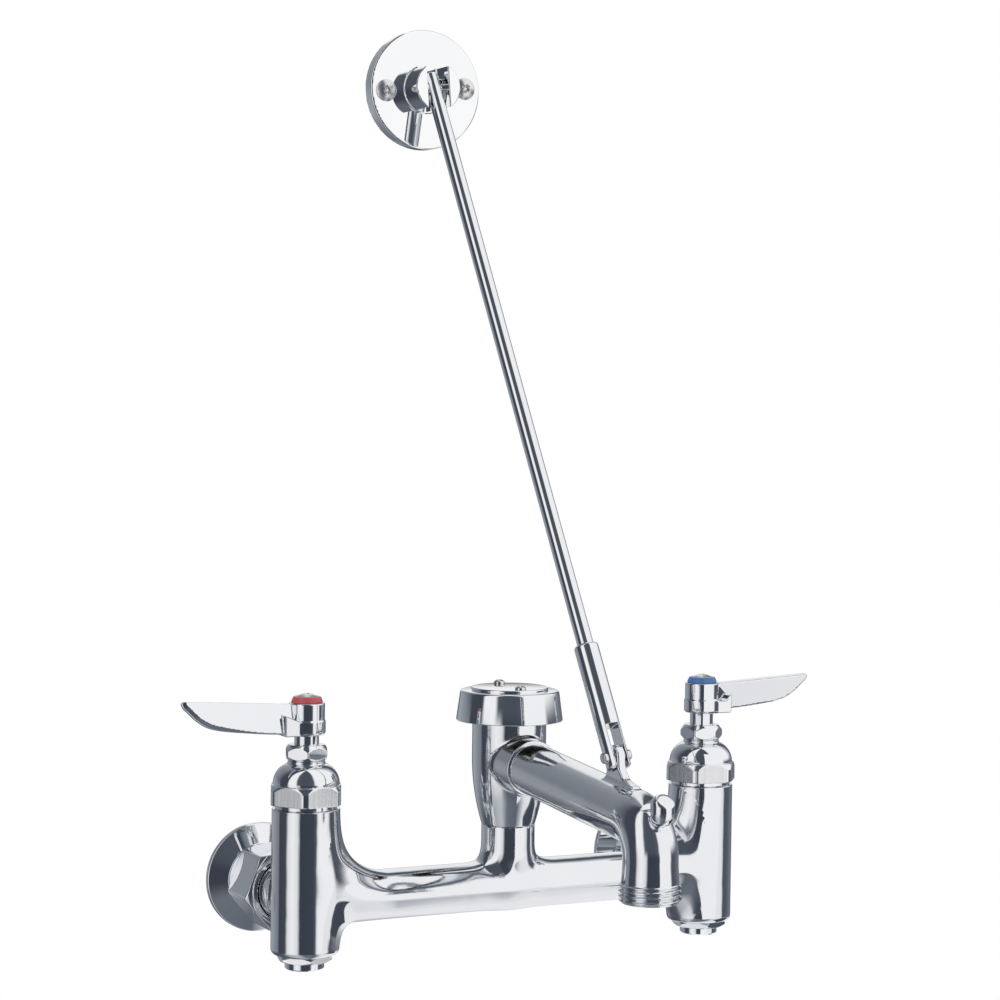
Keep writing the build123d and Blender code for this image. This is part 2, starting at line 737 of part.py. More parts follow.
with BuildPart() as breaker_body:
    with BuildSketch(upright(0, breaker_y)):
        with BuildLine():
            Polyline(
                (0, breaker_top),
                (0, breaker_spigot_bottom),
                (riser_bore_radius - seated_fit, breaker_spigot_bottom),
                (riser_bore_radius - seated_fit, riser_top),
                (riser_radius, riser_top),
            )
            TangentArc((breaker_radius, breaker_shoulder), (riser_radius, riser_top), tangent=(0, -1))
            Polyline((breaker_radius, breaker_shoulder), (breaker_radius, breaker_top), (0, breaker_top))
        make_face()
    revolve(axis=breaker_axis)
    with BuildPart(mode=Mode.PRIVATE) as boss:
        with BuildSketch(spout_start):
            Circle(boss_root_radius)
        with BuildSketch(spout_start.offset(boss_length)):
            Circle(boss_end_radius)
        loft(ruled=True)
    add(boss.part)
    with BuildSketch(upright(0, breaker_y)):
        with BuildLine():
            Polyline(
                (0, breaker_top),
                (0, breaker_spigot_bottom),
                (breaker_inlet_radius, breaker_spigot_bottom),
                (breaker_inlet_radius, breaker_seat),
                (breaker_chamber_radius, breaker_seat),
                (breaker_chamber_radius, breaker_top),
                close=True,
            )
        make_face()
    revolve(axis=breaker_axis, mode=Mode.SUBTRACT)
    with BuildSketch(level(0, breaker_y, breaker_top)):
        with PolarLocations(cap_screw_circle, 2, start_angle=cap_screw_turn):
            Circle(cap_screw_shank + seated_fit)
    extrude(amount=screw_seat - cap_screw_length - screw_tip_gap - breaker_top, mode=Mode.SUBTRACT)
    with BuildSketch(spout_start):
        Circle(spout_bore_radius)
    extrude(amount=boss_length, mode=Mode.SUBTRACT)
    with BuildSketch(spout_start.offset(boss_length - spout_spigot_length)):
        Circle(spout_spigot_radius + seated_fit)
    extrude(amount=spout_spigot_length, mode=Mode.SUBTRACT)
keep(breaker_body, "breaker_body")

with BuildPart() as breaker_cover:
    with BuildSketch(level(0, breaker_y, breaker_top)):
        Circle(cover_radius)
    extrude(amount=cover_thickness)
    with BuildSketch(level(0, breaker_y, breaker_top)):
        Circle(breaker_chamber_radius - seated_fit)
    extrude(amount=-cover_spigot)
    with BuildSketch(level(0, breaker_y, cover_top)):
        Circle(poppet_stem_radius + running_fit)
        with PolarLocations(cover_vent_circle, 4, start_angle=45):
            Circle(cover_vent_radius)
    extrude(amount=-cover_thickness - cover_spigot, mode=Mode.SUBTRACT)
    with BuildSketch(level(0, breaker_y, cover_top)):
        with PolarLocations(cap_screw_circle, 2, start_angle=cap_screw_turn):
            Circle(cap_screw_shank + loose_fit)
    extrude(amount=-cover_thickness, mode=Mode.SUBTRACT)
keep(breaker_cover, "breaker_cover")

with BuildPart() as breaker_poppet_seal:
    with BuildSketch(level(0, breaker_y, breaker_seat)):
        Circle(poppet_radius)
    extrude(amount=poppet_seal)
keep(breaker_poppet_seal, "breaker_poppet_seal")

with BuildPart() as breaker_poppet:
    with BuildSketch(level(0, breaker_y, breaker_seat + poppet_seal)):
        Circle(poppet_radius)
    extrude(amount=poppet_thickness)
    with BuildSketch(level(0, breaker_y, breaker_seat + poppet_seal)):
        Circle(poppet_stem_radius)
    extrude(amount=poppet_stem_top - breaker_seat - poppet_seal)
keep(breaker_poppet, "breaker_poppet")

with BuildPart() as breaker_cap:
    with BuildSketch(upright(0, breaker_y)):
        with BuildLine():
            Polyline(
                (0, cap_bottom),
                (cap_bottom_radius, cap_bottom),
                (cap_top_radius, cap_top),
                (0, cap_top),
                close=True,
            )
        make_face()
    revolve(axis=breaker_axis)
    fillet(breaker_cap.edges().filter_by(GeomType.CIRCLE), cap_round)
    with BuildSketch(upright(0, breaker_y)):
        with BuildLine():
            Polyline(
                (0, cap_bottom),
                (cap_bottom_radius - cap_wall, cap_bottom),
                (cap_top_radius - cap_wall, cap_top - cap_roof),
                (0, cap_top - cap_roof),
                close=True,
            )
        make_face()
    revolve(axis=breaker_axis, mode=Mode.SUBTRACT)
    with BuildSketch(level(0, breaker_y, cap_top - cap_roof)):
        with PolarLocations(cap_screw_circle, 2, start_angle=cap_screw_turn):
            Circle(cap_post_radius)
    extrude(amount=cover_top - cap_top + cap_roof)
    with BuildSketch(level(0, breaker_y, cap_top)):
        with PolarLocations(cap_screw_circle, 2, start_angle=cap_screw_turn):
            Circle(cap_screw_shank + loose_fit)
    extrude(amount=cover_top - cap_top, mode=Mode.SUBTRACT)
keep(breaker_cap, "breaker_cap")

with BuildPart() as breaker_cap_plate:
    with BuildSketch(level(0, breaker_y, cap_top)):
        Circle(cap_plate_radius)
    extrude(amount=cap_plate_thickness)
    fillet(breaker_cap_plate.edges().group_by(Axis.Z)[-1], cap_plate_round)
    with BuildSketch(level(0, breaker_y, cap_top)):
        with PolarLocations(cap_screw_circle, 2, start_angle=cap_screw_turn):
            Circle(cap_screw_shank + loose_fit)
    extrude(amount=cap_plate_thickness, mode=Mode.SUBTRACT)
keep(breaker_cap_plate, "breaker_cap_plate")

with BuildPart() as breaker_cap_screws:
    for turn in (cap_screw_turn, cap_screw_turn + 180):
        screw_x = cap_screw_circle * cos(radians(turn))
        screw_y = breaker_y + cap_screw_circle * sin(radians(turn))
        with BuildSketch(upright(screw_x, screw_y)):
            with BuildLine():
                Polyline(
                    (crown_flat, screw_seat + cap_screw_edge + cap_screw_crown),
                    (0, screw_seat + cap_screw_edge + cap_screw_crown),
                    (0, screw_seat - cap_screw_length),
                    (cap_screw_shank, screw_seat - cap_screw_length),
                    (cap_screw_shank, screw_seat),
                    (cap_screw_head, screw_seat),
                    (cap_screw_head, screw_seat + cap_screw_edge),
                )
                RadiusArc(
                    (cap_screw_head, screw_seat + cap_screw_edge),
                    (crown_flat, screw_seat + cap_screw_edge + cap_screw_crown),
                    -crown_radius(cap_screw_head, cap_screw_crown),
                )
            make_face()
        revolve(axis=vertical(screw_x, screw_y))
keep(breaker_cap_screws, "breaker_cap_screws")

# ================================================================ spout
outlet_y = breaker_y - spout_reach
spout_top_at_outlet = spout_root_height - spout_reach * tan(radians(spout_drop))
lug_y = breaker_y - lug_pin_offset
knob_y = breaker_y - knob_offset
thread_top = outlet_bottom + outlet_thread_length
side_view = Plane(origin=(0, 0, 0), x_dir=(0, -1, 0), z_dir=(-1, 0, 0))    # sketch x is forward, y is up

with BuildPart() as spout:
    start = spout_origin + spout_direction * boss_length
    corner = Vector(0, outlet_y, spout_top_at_outlet)
    end = Vector(0, outlet_y, thread_top)
    with BuildLine() as run:
        FilletPolyline(start, corner, end, radius=spout_elbow)
    with BuildSketch(Plane(origin=start, x_dir=(1, 0, 0), z_dir=spout_direction)):
        Circle(spout_radius)
    sweep(path=run.line)
    with BuildSketch(Plane(origin=start, x_dir=(1, 0, 0), z_dir=-spout_direction)):
        Circle(spout_spigot_radius)
    extrude(amount=spout_spigot_length)
    # the outlet widens a little above its thread
    with BuildSketch(upright(0, outlet_y)):
        with BuildLine():
            Polyline(
                (0, thread_top + outlet_flare_length),
                (spout_radius - flare_inset, thread_top + outlet_flare_length),
                (outlet_flare_radius, thread_top),
                (outlet_flare_radius, outlet_bottom),
                (0, outlet_bottom),
                close=True,
            )
        make_face()
    revolve(axis=vertical(0, outlet_y))
    with BuildSketch(level(0, outlet_y, outlet_bottom)):
        Circle(outlet_thread_radius)
    extrude(amount=outlet_thread_length)
    chamfer(spout.edges().group_by(Axis.Z)[0].sort_by(SortBy.RADIUS)[-1], outlet_chamfer)
    # pail knob on the shoulder of the bend, round at both ends
    with BuildSketch(upright(0, knob_y)):
        with BuildLine():
            Polyline((crown_flat, knob_top), (0, knob_top), (0, knob_foot), (crown_flat, knob_foot))
            RadiusArc((crown_flat, knob_foot), (knob_radius, knob_foot + knob_radius), -knob_radius)
            Line((knob_radius, knob_foot + knob_radius), (knob_radius, knob_top - knob_radius))
            RadiusArc((knob_radius, knob_top - knob_radius), (crown_flat, knob_top), -knob_radius)
        make_face()
    revolve(axis=vertical(0, knob_y))
    # brace lug
    surface = spout_root_height - lug_pin_offset * tan(radians(spout_drop)) + spout_radius
    with BuildSketch(side_view):
        with BuildLine():
            pin = Vector(-lug_y, lug_pin_height)
            back_foot = Vector(-lug_y - lug_foot_back, surface - lug_sink)
            front_foot = Vector(-lug_y + lug_foot_front, surface - lug_sink)
            crown = ThreePointArc(
                (pin.X - lug_radius, pin.Y),
                (pin.X, pin.Y + lug_radius),
                (pin.X + lug_radius, pin.Y),
            )
            TangentArc(crown @ 1, front_foot, tangent=(0, -1))
            Line(front_foot, back_foot)
            TangentArc(crown @ 0, back_foot, tangent=(0, -1))
        make_face()
    extrude(amount=lug_thickness / 2, both=True)
    # waterway
    with BuildSketch(Plane(origin=start - spout_direction * spout_spigot_length, x_dir=(1, 0, 0),
                           z_dir=spout_direction)):
        Circle(spout_bore_radius)
    extrude(amount=spout_spigot_length, mode=Mode.SUBTRACT)
    with BuildSketch(Plane(origin=start, x_dir=(1, 0, 0), z_dir=spout_direction)):
        Circle(spout_bore_radius)
    sweep(path=run.line, mode=Mode.SUBTRACT)
    with BuildSketch(level(0, outlet_y, outlet_bottom)):
        Circle(spout_bore_radius)
    extrude(amount=outlet_thread_length, mode=Mode.SUBTRACT)
    # notch for the pail's bail, cut across the top just behind the knob
    notch_y = knob_y + knob_radius + notch_clearance + notch_width / 2
    with BuildSketch(side_view):
        with Locations((-notch_y, spout_top_at_outlet + spout_radius)):
            SlotOverall(2 * notch_depth, notch_width, rotation=90)
    extrude(amount=2 * spout_radius, both=True, mode=Mode.SUBTRACT)
    # pin hole in the lug
    with BuildSketch(side_view):
        with Locations((-lug_y, lug_pin_height)):
            Circle(clevis_pin_radius + loose_fit)
    extrude(amount=lug_thickness, both=True, mode=Mode.SUBTRACT)
keep(spout, "spout")

# ================================================================ brace
lower_pin = Vector(0, lug_y, lug_pin_height)
upper_pin = Vector(plate_side_shift, -plate_thickness - stub_pin_offset, plate_height)
brace_length = (upper_pin - lower_pin).length
brace_direction = (upper_pin - lower_pin).normalized()
lean = atan2(-(upper_pin - lower_pin).X, (upper_pin - lower_pin).Z)
pin_direction = Vector(cos(lean), 0, sin(lean))
along_brace = Plane(origin=lower_pin, x_dir=pin_direction, z_dir=brace_direction)
across_lower_pin = Plane(origin=lower_pin, x_dir=brace_direction, z_dir=pin_direction)
across_upper_pin = Plane(origin=upper_pin, x_dir=brace_direction, z_dir=pin_direction)

with BuildPart() as brace_clevis:
    with BuildSketch(along_brace.offset(-clevis_toe)):
        Circle(clevis_radius)
    extrude(amount=clevis_length + clevis_toe)
    chamfer(brace_clevis.edges().filter_by(GeomType.CIRCLE), clevis_edge_chamfer)
    with BuildSketch(along_brace.offset(clevis_bore_floor)):
        Circle(rod_radius + running_fit)
    extrude(amount=clevis_length - clevis_bore_floor, mode=Mode.SUBTRACT)
    with BuildSketch(along_brace.offset(-clevis_toe)):
        Rectangle(clevis_slot_width, 3 * clevis_radius)
    extrude(amount=clevis_toe + clevis_slot_length, mode=Mode.SUBTRACT)
    with BuildSketch(across_lower_pin):
        Circle(clevis_pin_radius + seated_fit)
    extrude(amount=2 * clevis_radius, both=True, mode=Mode.SUBTRACT)
keep(brace_clevis, "brace_clevis")

with BuildPart() as clevis_pin:
    with BuildSketch(across_lower_pin):
        Circle(clevis_pin_radius)
    extrude(amount=clevis_radius + clevis_pin_stand_out, both=True)
    fillet(clevis_pin.edges().filter_by(GeomType.CIRCLE), clevis_pin_round)
keep(clevis_pin, "clevis_pin")

with BuildPart() as brace_rod:
    with BuildSketch(along_brace.offset(rod_start)):
        Circle(rod_radius)
    extrude(amount=brace_length + rod_tip - rod_start)
    chamfer(brace_rod.edges().filter_by(GeomType.CIRCLE), rod_end_chamfer)
    flat_start = brace_length + rod_tip - rod_flat_length
    with BuildSketch(along_brace.offset(flat_start)):
        with Locations((rod_flat / 2 + rod_radius, 0), (-rod_flat / 2 - rod_radius, 0)):
            Rectangle(2 * rod_radius, 4 * rod_radius)
    extrude(amount=rod_flat_length, mode=Mode.SUBTRACT)
    with BuildSketch(across_upper_pin):
        Circle(stub_pin_radius + running_fit)
    extrude(amount=2 * rod_radius, both=True, mode=Mode.SUBTRACT)
keep(brace_rod, "brace_rod")

plate_front = -plate_thickness
plate_plane = Plane(origin=(plate_side_shift, 0, plate_height), x_dir=pin_direction, z_dir=(0, -1, 0))
with BuildPart() as wall_plate:
    with BuildSketch(plate_plane):
        Circle(plate_radius)
    extrude(amount=plate_thickness)
    fillet(wall_plate.edges().filter_by(GeomType.CIRCLE).sort_by(Axis.Y)[0], plate_edge_round)
    with BuildSketch(plate_plane.offset(plate_thickness)):
        Circle(stub_radius)
    extrude(amount=stub_length)
    fillet(wall_plate.edges().filter_by(GeomType.CIRCLE).sort_by(Axis.Y)[0], stub_edge_round)
    with BuildSketch(plate_plane.offset(plate_thickness + stub_slot_floor)):
        Rectangle(stub_slot_width, 3 * stub_radius)
    extrude(amount=stub_length, mode=Mode.SUBTRACT)
    with BuildSketch(across_upper_pin):
        Circle(stub_pin_radius + seated_fit)
    extrude(amount=2 * stub_radius, both=True, mode=Mode.SUBTRACT)
    with BuildSketch(plate_plane):
        with Locations((-plate_screw_spacing / 2, 0), (plate_screw_spacing / 2, 0)):
            Circle(wall_screw_radius + loose_fit)
    extrude(amount=plate_thickness, mode=Mode.SUBTRACT)
keep(wall_plate, "wall_plate")

with BuildPart() as stub_pin:
    with BuildSketch(across_upper_pin):
        Circle(stub_pin_radius)
    half_chord = sqrt(stub_radius**2 - stub_pin_radius**2)
    extrude(amount=half_chord, both=True)
keep(stub_pin, "stub_pin")

with BuildPart() as wall_screws:
    for step in (-1, 1):
        centre = Vector(plate_side_shift, 0, plate_height) + pin_direction * (step * plate_screw_spacing / 2)
        # sketch x is the screw's radius, sketch y runs into the wall
        screw_plane = Plane(origin=(centre.X, 0, centre.Z), x_dir=(1, 0, 0), z_dir=(0, 0, 1))
        screw_end = plate_front + wall_screw_length
        with BuildSketch(screw_plane):
            with BuildLine():
                Polyline(
                    (wall_screw_head_radius, plate_front),
                    (wall_screw_radius, plate_front),
                    (wall_screw_radius, wall_thread_start),
                    (wall_thread_radius, wall_thread_start),
                    (wall_thread_radius, screw_end - wall_screw_point),
                    (crown_flat, screw_end),
                    (0, screw_end),
                    (0, plate_front - wall_screw_head_crown),
                    (crown_flat, plate_front - wall_screw_head_crown),
                )
                RadiusArc(
                    (crown_flat, plate_front - wall_screw_head_crown),
                    (wall_screw_head_radius, plate_front),
                    crown_radius(wall_screw_head_radius, wall_screw_head_crown),
                )
            make_face()
        revolve(axis=Axis((centre.X, 0, centre.Z), (0, 1, 0)))
keep(wall_screws, "wall_screws")
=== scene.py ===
import json
import math

import bpy
import numpy as np
from mathutils import Matrix, Vector


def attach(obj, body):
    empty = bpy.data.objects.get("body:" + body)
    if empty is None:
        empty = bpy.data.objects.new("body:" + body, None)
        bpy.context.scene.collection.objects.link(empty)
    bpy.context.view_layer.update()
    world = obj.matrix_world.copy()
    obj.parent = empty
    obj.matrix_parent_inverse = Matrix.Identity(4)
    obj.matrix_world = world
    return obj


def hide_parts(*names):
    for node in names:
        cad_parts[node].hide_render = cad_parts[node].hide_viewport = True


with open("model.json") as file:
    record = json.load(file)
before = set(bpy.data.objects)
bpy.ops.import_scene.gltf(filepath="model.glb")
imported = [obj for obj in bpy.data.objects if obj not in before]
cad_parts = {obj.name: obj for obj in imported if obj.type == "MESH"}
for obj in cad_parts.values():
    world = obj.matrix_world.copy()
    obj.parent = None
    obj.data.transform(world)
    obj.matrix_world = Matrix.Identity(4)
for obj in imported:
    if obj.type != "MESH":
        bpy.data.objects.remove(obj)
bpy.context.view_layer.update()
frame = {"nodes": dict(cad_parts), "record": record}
nodes = frame["nodes"]
scene = bpy.context.scene
scene.view_settings.view_transform = "Standard"
mm = 0.001
print("frame loaded:", len(nodes), "nodes")


# camera, solved from the photograph
camera = {"place": (-0.52994, -1.12029, 0.22251), "yaw": 26.22, "pitch": -2.20, "roll": 0.73, "lens": 92.9}


def addCamera():
    yaw, pitch, roll = (math.radians(camera[k]) for k in ("yaw", "pitch", "roll"))
    look = Vector((math.sin(yaw) * math.cos(pitch), math.cos(yaw) * math.cos(pitch), math.sin(pitch)))
    right = Vector((math.cos(yaw), -math.sin(yaw), 0))
    up = right.cross(look)
    tiltedRight = math.cos(roll) * right + math.sin(roll) * up
    tiltedUp = math.cos(roll) * up - math.sin(roll) * right
    data = bpy.data.cameras.new("camera")
    data.lens = camera["lens"]
    data.sensor_width = 36
    obj = bpy.data.objects.new("camera", data)
    turn = Matrix((tiltedRight, tiltedUp, -look)).transposed().to_4x4()
    obj.matrix_world = Matrix.Translation(camera["place"]) @ turn
    scene.collection.objects.link(obj)
    scene.camera = obj


addCamera()


# materials: shared effects first, then a finish for each kind of surface
def newMaterial(name):
    mat = bpy.data.materials.new(name)
    mat.use_nodes = True
    return mat, mat.node_tree, mat.node_tree.nodes["Principled BSDF"]


def feed(node, inputs):  # sockets are linked, plain values are set
    for name, value in inputs.items():
        if isinstance(value, bpy.types.NodeSocket):
            node.id_data.links.new(value, node.inputs[name])
        else:
            node.inputs[name].default_value = value


def addNode(tree, kind, inputs=None, **settings):
    node = tree.nodes.new(kind)
    for key, value in settings.items():
        setattr(node, key, value)
    feed(node, inputs or {})
    return node


def addMath(tree, operation, *terms):
    return addNode(tree, "ShaderNodeMath", dict(enumerate(terms)), operation=operation).outputs[0]


def addNoise(tree, **inputs):
    return addNode(tree, "ShaderNodeTexNoise", inputs).outputs["Fac"]


def mixColours(tree, factor, a, b, blend="MIX"):
    inputs = {"Factor": factor, "A": a, "B": b}
    return addNode(tree, "ShaderNodeMix", inputs, data_type="RGBA", blend_type=blend).outputs["Result"]


def newGroup(name, given, results):  # given and results: socket names with their kinds
    group = bpy.data.node_groups.new(name, "ShaderNodeTree")
    for way, sockets in (("INPUT", given), ("OUTPUT", results)):
        for label, kind in sockets.items():
            group.interface.new_socket(label, in_out=way, socket_type="NodeSocket" + kind)
    return group, addNode(group, "NodeGroupInput").outputs


surface = {"Colour": "Color", "Roughness": "Float", "Height": "Float"}


def polishGroup():  # fine haze and waviness that a polished plate shows up close
    wanted = {"Scale": "Float", "Rough": "Float", "Haze": "Float", "Tint": "Float", "Base": "Color"}
    group, given = newGroup("polishHaze", wanted, surface)
    spot = addNode(group, "ShaderNodeTexCoord").outputs["Object"]
    broad = addNoise(group, Vector=spot, Scale=given["Scale"], Detail=2.0)
    finer = addMath(group, "MULTIPLY", given["Scale"], 9.0)
    fine = addNoise(group, Vector=spot, Scale=finer, Detail=5.0)
    shade = addMath(group, "MULTIPLY", broad, given["Tint"])
    addNode(group, "NodeGroupOutput", {
        "Colour": mixColours(group, shade, given["Base"], (0.45, 0.48, 0.52, 1)),
        "Roughness": addMath(group, "MULTIPLY_ADD", fine, given["Haze"], given["Rough"]),
        "Height": broad,
    })
    return group


def grindGroup():  # fine upright grinding lines, as a belt leaves them
    wanted = {"Scale": "Float", "Rough": "Float", "Depth": "Float", "Light": "Color", "Dark": "Color"}
    group, given = newGroup("grindLines", wanted, surface)
    spot = addNode(group, "ShaderNodeTexCoord").outputs["Object"]
    stretch = addNode(group, "ShaderNodeMapping", {"Vector": spot, "Scale": (1.0, 1.0, 0.04)})
    lines = addNoise(group, Vector=stretch.outputs["Vector"], Scale=given["Scale"], Detail=3.0)
    addNode(group, "NodeGroupOutput", {
        "Colour": mixColours(group, lines, given["Light"], given["Dark"]),
        "Roughness": addMath(group, "MULTIPLY_ADD", lines, given["Depth"], given["Rough"]),
        "Height": lines,
    })
    return group


polish, grind = polishGroup(), grindGroup()


def groupMaterial(name, group, values, metallic, bump):  # bump: strength and depth of the group's relief
    mat, tree, shader = newMaterial(name)
    effect = addNode(tree, "ShaderNodeGroup", values, node_tree=group).outputs
    feed(shader, {"Base Color": effect["Colour"], "Roughness": effect["Roughness"], "Metallic": metallic})
    if bump:
        inputs = {"Height": effect["Height"], "Strength": bump[0], "Distance": bump[1]}
        feed(shader, {"Normal": addNode(tree, "ShaderNodeBump", inputs).outputs["Normal"]})
    return mat


def polished(name, base, rough=0.03, haze=0.03, scale=40.0, metallic=1.0, bump=None):
    values = {"Scale": scale, "Rough": rough, "Haze": haze, "Tint": 0.1, "Base": (*base, 1)}
    return groupMaterial(name, polish, values, metallic, bump)


def ground(name, light, dark):
    values = {"Scale": 900.0, "Rough": 0.2, "Depth": 0.15, "Light": (*light, 1), "Dark": (*dark, 1)}
    return groupMaterial(name, grind, values, 1.0, (0.12, 0.0002))


chrome = polished("polishedChrome", (0.86, 0.87, 0.89), 0.02, 0.03)
castChrome = polished("polishedCasting", (0.84, 0.85, 0.87), 0.05, 0.06, scale=55.0, bump=(1.0, 0.00022))
plateChrome = polished("plateChrome", (0.96, 0.965, 0.97), 0.02, 0.03)
satin = ground("satinFlats", (0.86, 0.86, 0.87), (0.62, 0.62, 0.64))
brightSteel = polished("platedSteel", (0.74, 0.73, 0.72), 0.08, 0.06)
paleSteel = polished("paleSteel", (0.80, 0.79, 0.78), 0.24, 0.12)
slotMaterial = {
    "chrome": chrome,
    "steel": polished("screwSteel", (0.62, 0.61, 0.60), 0.2, 0.1),
    "brass": polished("machinedBrass", (0.72, 0.55, 0.26), 0.25, 0.1),
    "rubber": polished("blackRubber", (0.03, 0.03, 0.03), 0.6, 0.1, metallic=0.0),
    "packing": polished("stemPacking", (0.8, 0.8, 0.77), 0.6, 0.1, metallic=0.0),
    "hot_index": polished("redIndex", (0.60, 0.085, 0.10), 0.25, 0.05, metallic=0.0),
    "cold_index": polished("blueIndex", (0.055, 0.19, 0.50), 0.25, 0.05, metallic=0.0),
}
slotOf = {part["node"]: part["material_slot"] for part in frame["record"]["subparts"]}
for name, obj in nodes.items():
    obj.data.materials.clear()
    obj.data.materials.append(slotMaterial[slotOf[name]])
print("materials set")


# shape tools: solids as distance fields in millimetres, meshed where the field is zero
def reach(*parts):
    return np.sqrt(sum(p * p for p in parts))


def blendShapes(a, b, r):  # both shapes, with a hollow fillet of radius r between them
    return np.maximum(r, np.minimum(a, b)) - reach(np.maximum(r - a, 0), np.maximum(r - b, 0))


def trimShape(a, b, r):  # what the shapes share, with a rounded edge of radius r
    return np.minimum(-r, np.maximum(a, b)) + reach(np.maximum(r + a, 0), np.maximum(r + b, 0))


def easeShapes(a, b, span):  # both shapes, flowing into each other where they come within the span
    return np.minimum(a, b) - np.maximum(span - np.abs(a - b), 0) ** 3 / (6 * span ** 2)


def ramp(value, start, end):  # 0 before start, 1 after end, smooth between
    t = np.clip((value - start) / (end - start), 0, 1)
    return t * t * (3 - 2 * t)


def toStretch(u, v, a, b):  # squared distance to the straight stretch from a to b
    dx, dy = b[0] - a[0], b[1] - a[1]
    t = np.clip(((u - a[0]) * dx + (v - a[1]) * dy) / (dx * dx + dy * dy), 0, 1)
    return (u - a[0] - t * dx) ** 2 + (v - a[1] - t * dy) ** 2


def outlineDistance(u, v, corners):  # signed distance to a closed outline, negative inside
    best = np.full(np.shape(u), 1e9)
    inside = np.zeros(np.shape(u), bool)
    for a, b in zip(corners, corners[1:] + corners[:1]):
        if a == b:
            continue
        best = np.minimum(best, toStretch(u, v, a, b))
        if a[1] != b[1]:
            beyond = a[0] + (v - a[1]) * (b[0] - a[0]) / (b[1] - a[1])
            inside ^= ((v < a[1]) != (v < b[1])) & (u < beyond)
    return np.where(inside, -1, 1) * np.sqrt(best)


def roundCorners(corners, steps=4):  # (x, y, radius) corners to a smooth closed outline
    points = []
    count = len(corners)
    for i, (x, y, r) in enumerate(corners):
        if r == 0:
            points.append((x, y))
            continue
        before, after = corners[i - 1], corners[(i + 1) % count]
        a = Vector((before[0] - x, before[1] - y)).normalized()
        b = Vector((after[0] - x, after[1] - y)).normalized()
        half = a.angle(b) / 2
        start = Vector((x, y)) + a * (r / math.tan(half))
        end = Vector((x, y)) + b * (r / math.tan(half))
        centre = Vector((x, y)) + (a + b).normalized() * (r / math.sin(half))
        for s in range(steps + 1):
            spot = start.lerp(end, s / steps) - centre
            spot = centre + spot.normalized() * r
            points.append((spot.x, spot.y))
    return points


def gridLines(*runs):  # (from, to, step) runs to one row of grid lines
    rows = [np.linspace(a, b, max(2, round((b - a) / step) + 1))[:-1] for a, b, step in runs]
    return np.append(np.concatenate(rows), runs[-1][1])


def slopeOf(shape, p, h=0.01):
    steps = np.eye(3) * h
    return np.stack([(shape(*(p + s).T) - shape(*(p - s).T)) / (2 * h) for s in steps], 1)


def netOf(shape, xs, ys, zs, settle=5):
    grid = np.meshgrid(xs, ys, zs, indexing="ij")
    field = shape(*grid)
    inside = field < 0
    cells = tuple(n - 1 for n in field.shape)
    total = np.zeros(cells + (3,))
    hits = np.zeros(cells)
    for axis in range(3):  # a point in each cell, at the middle of where its edges cross the surface
        others = [k for k in range(3) if k != axis]
        for corner in range(4):
            start = [0, 0, 0]
            start[others[0]], start[others[1]] = corner & 1, corner >> 1
            low = tuple(slice(s, s + n) for s, n in zip(start, cells))
            start[axis] += 1
            high = tuple(slice(s, s + n) for s, n in zip(start, cells))
            cut = inside[low] != inside[high]
            a, b = field[low][cut], field[high][cut]
            share = a / (a - b)
            for k in range(3):
                first = grid[k][low][cut]
                total[..., k][cut] += first + share * (grid[k][high][cut] - first)
            hits[cut] += 1
    used = hits > 0
    number = np.full(cells, -1)
    number[used] = np.arange(used.sum())
    verts = total[used] / hits[used][:, None]
    faces = []
    for axis in range(3):  # a face around each grid edge that crosses the surface
        u, v = (axis + 1) % 3, (axis + 2) % 3
        start = [0, 0, 0]
        start[u] = start[v] = 1
        stop = list(cells)
        low = tuple(slice(s, e) for s, e in zip(start, stop))
        start[axis], stop[axis] = 1, stop[axis] + 1
        high = tuple(slice(s, e) for s, e in zip(start, stop))
        at, ahead = inside[low], inside[high]
        spots = np.argwhere(at != ahead)
        outward = at[tuple(spots.T)]
        spots[:, u] += 1
        spots[:, v] += 1
        ring = []
        for du, dv in ((-1, -1), (0, -1), (0, 0), (-1, 0)):
            cell = spots.copy()
            cell[:, u] += du
            cell[:, v] += dv
            ring.append(number[tuple(cell.T)])
        ring = np.stack(ring, 1)
        ring[~outward] = ring[~outward][:, ::-1]
        faces.append(ring)
    faces = np.concatenate(faces)
    limit = min(np.diff(xs).min(), np.diff(ys).min(), np.diff(zs).min())
    for _ in range(settle):  # pull the points onto the surface
        slope = slopeOf(shape, verts)
        move = shape(*verts.T) / np.maximum((slope ** 2).sum(1), 0.05)
        verts = verts - slope * np.clip(move, -limit, limit)[:, None]
    slope = slopeOf(shape, verts)
    normals = slope / np.maximum(np.linalg.norm(slope, axis=1), 1e-9)[:, None]
    return verts, faces, normals


def addPiece(name, net, body, stands, finish=chrome, slot="chrome", place=Matrix.Identity(4)):
    verts, faces, normals = net
    turn = np.array(place)
    verts = np.asarray(verts, float) @ turn[:3, :3].T + turn[:3, 3]
    normals = normals @ turn[:3, :3].T
    mesh = bpy.data.meshes.new(name)
    mesh.from_pydata((verts * mm).tolist(), [], [list(map(int, f)) for f in faces])
    mesh.polygons.foreach_set("use_smooth", [True] * len(mesh.polygons))
    mesh.materials.append(finish)
    mesh.normals_split_custom_set_from_vertices(normals.tolist())
    piece = bpy.data.objects.new(name, mesh)
    scene.collection.objects.link(piece)
    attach(piece, body)
    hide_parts(stands)
    return piece


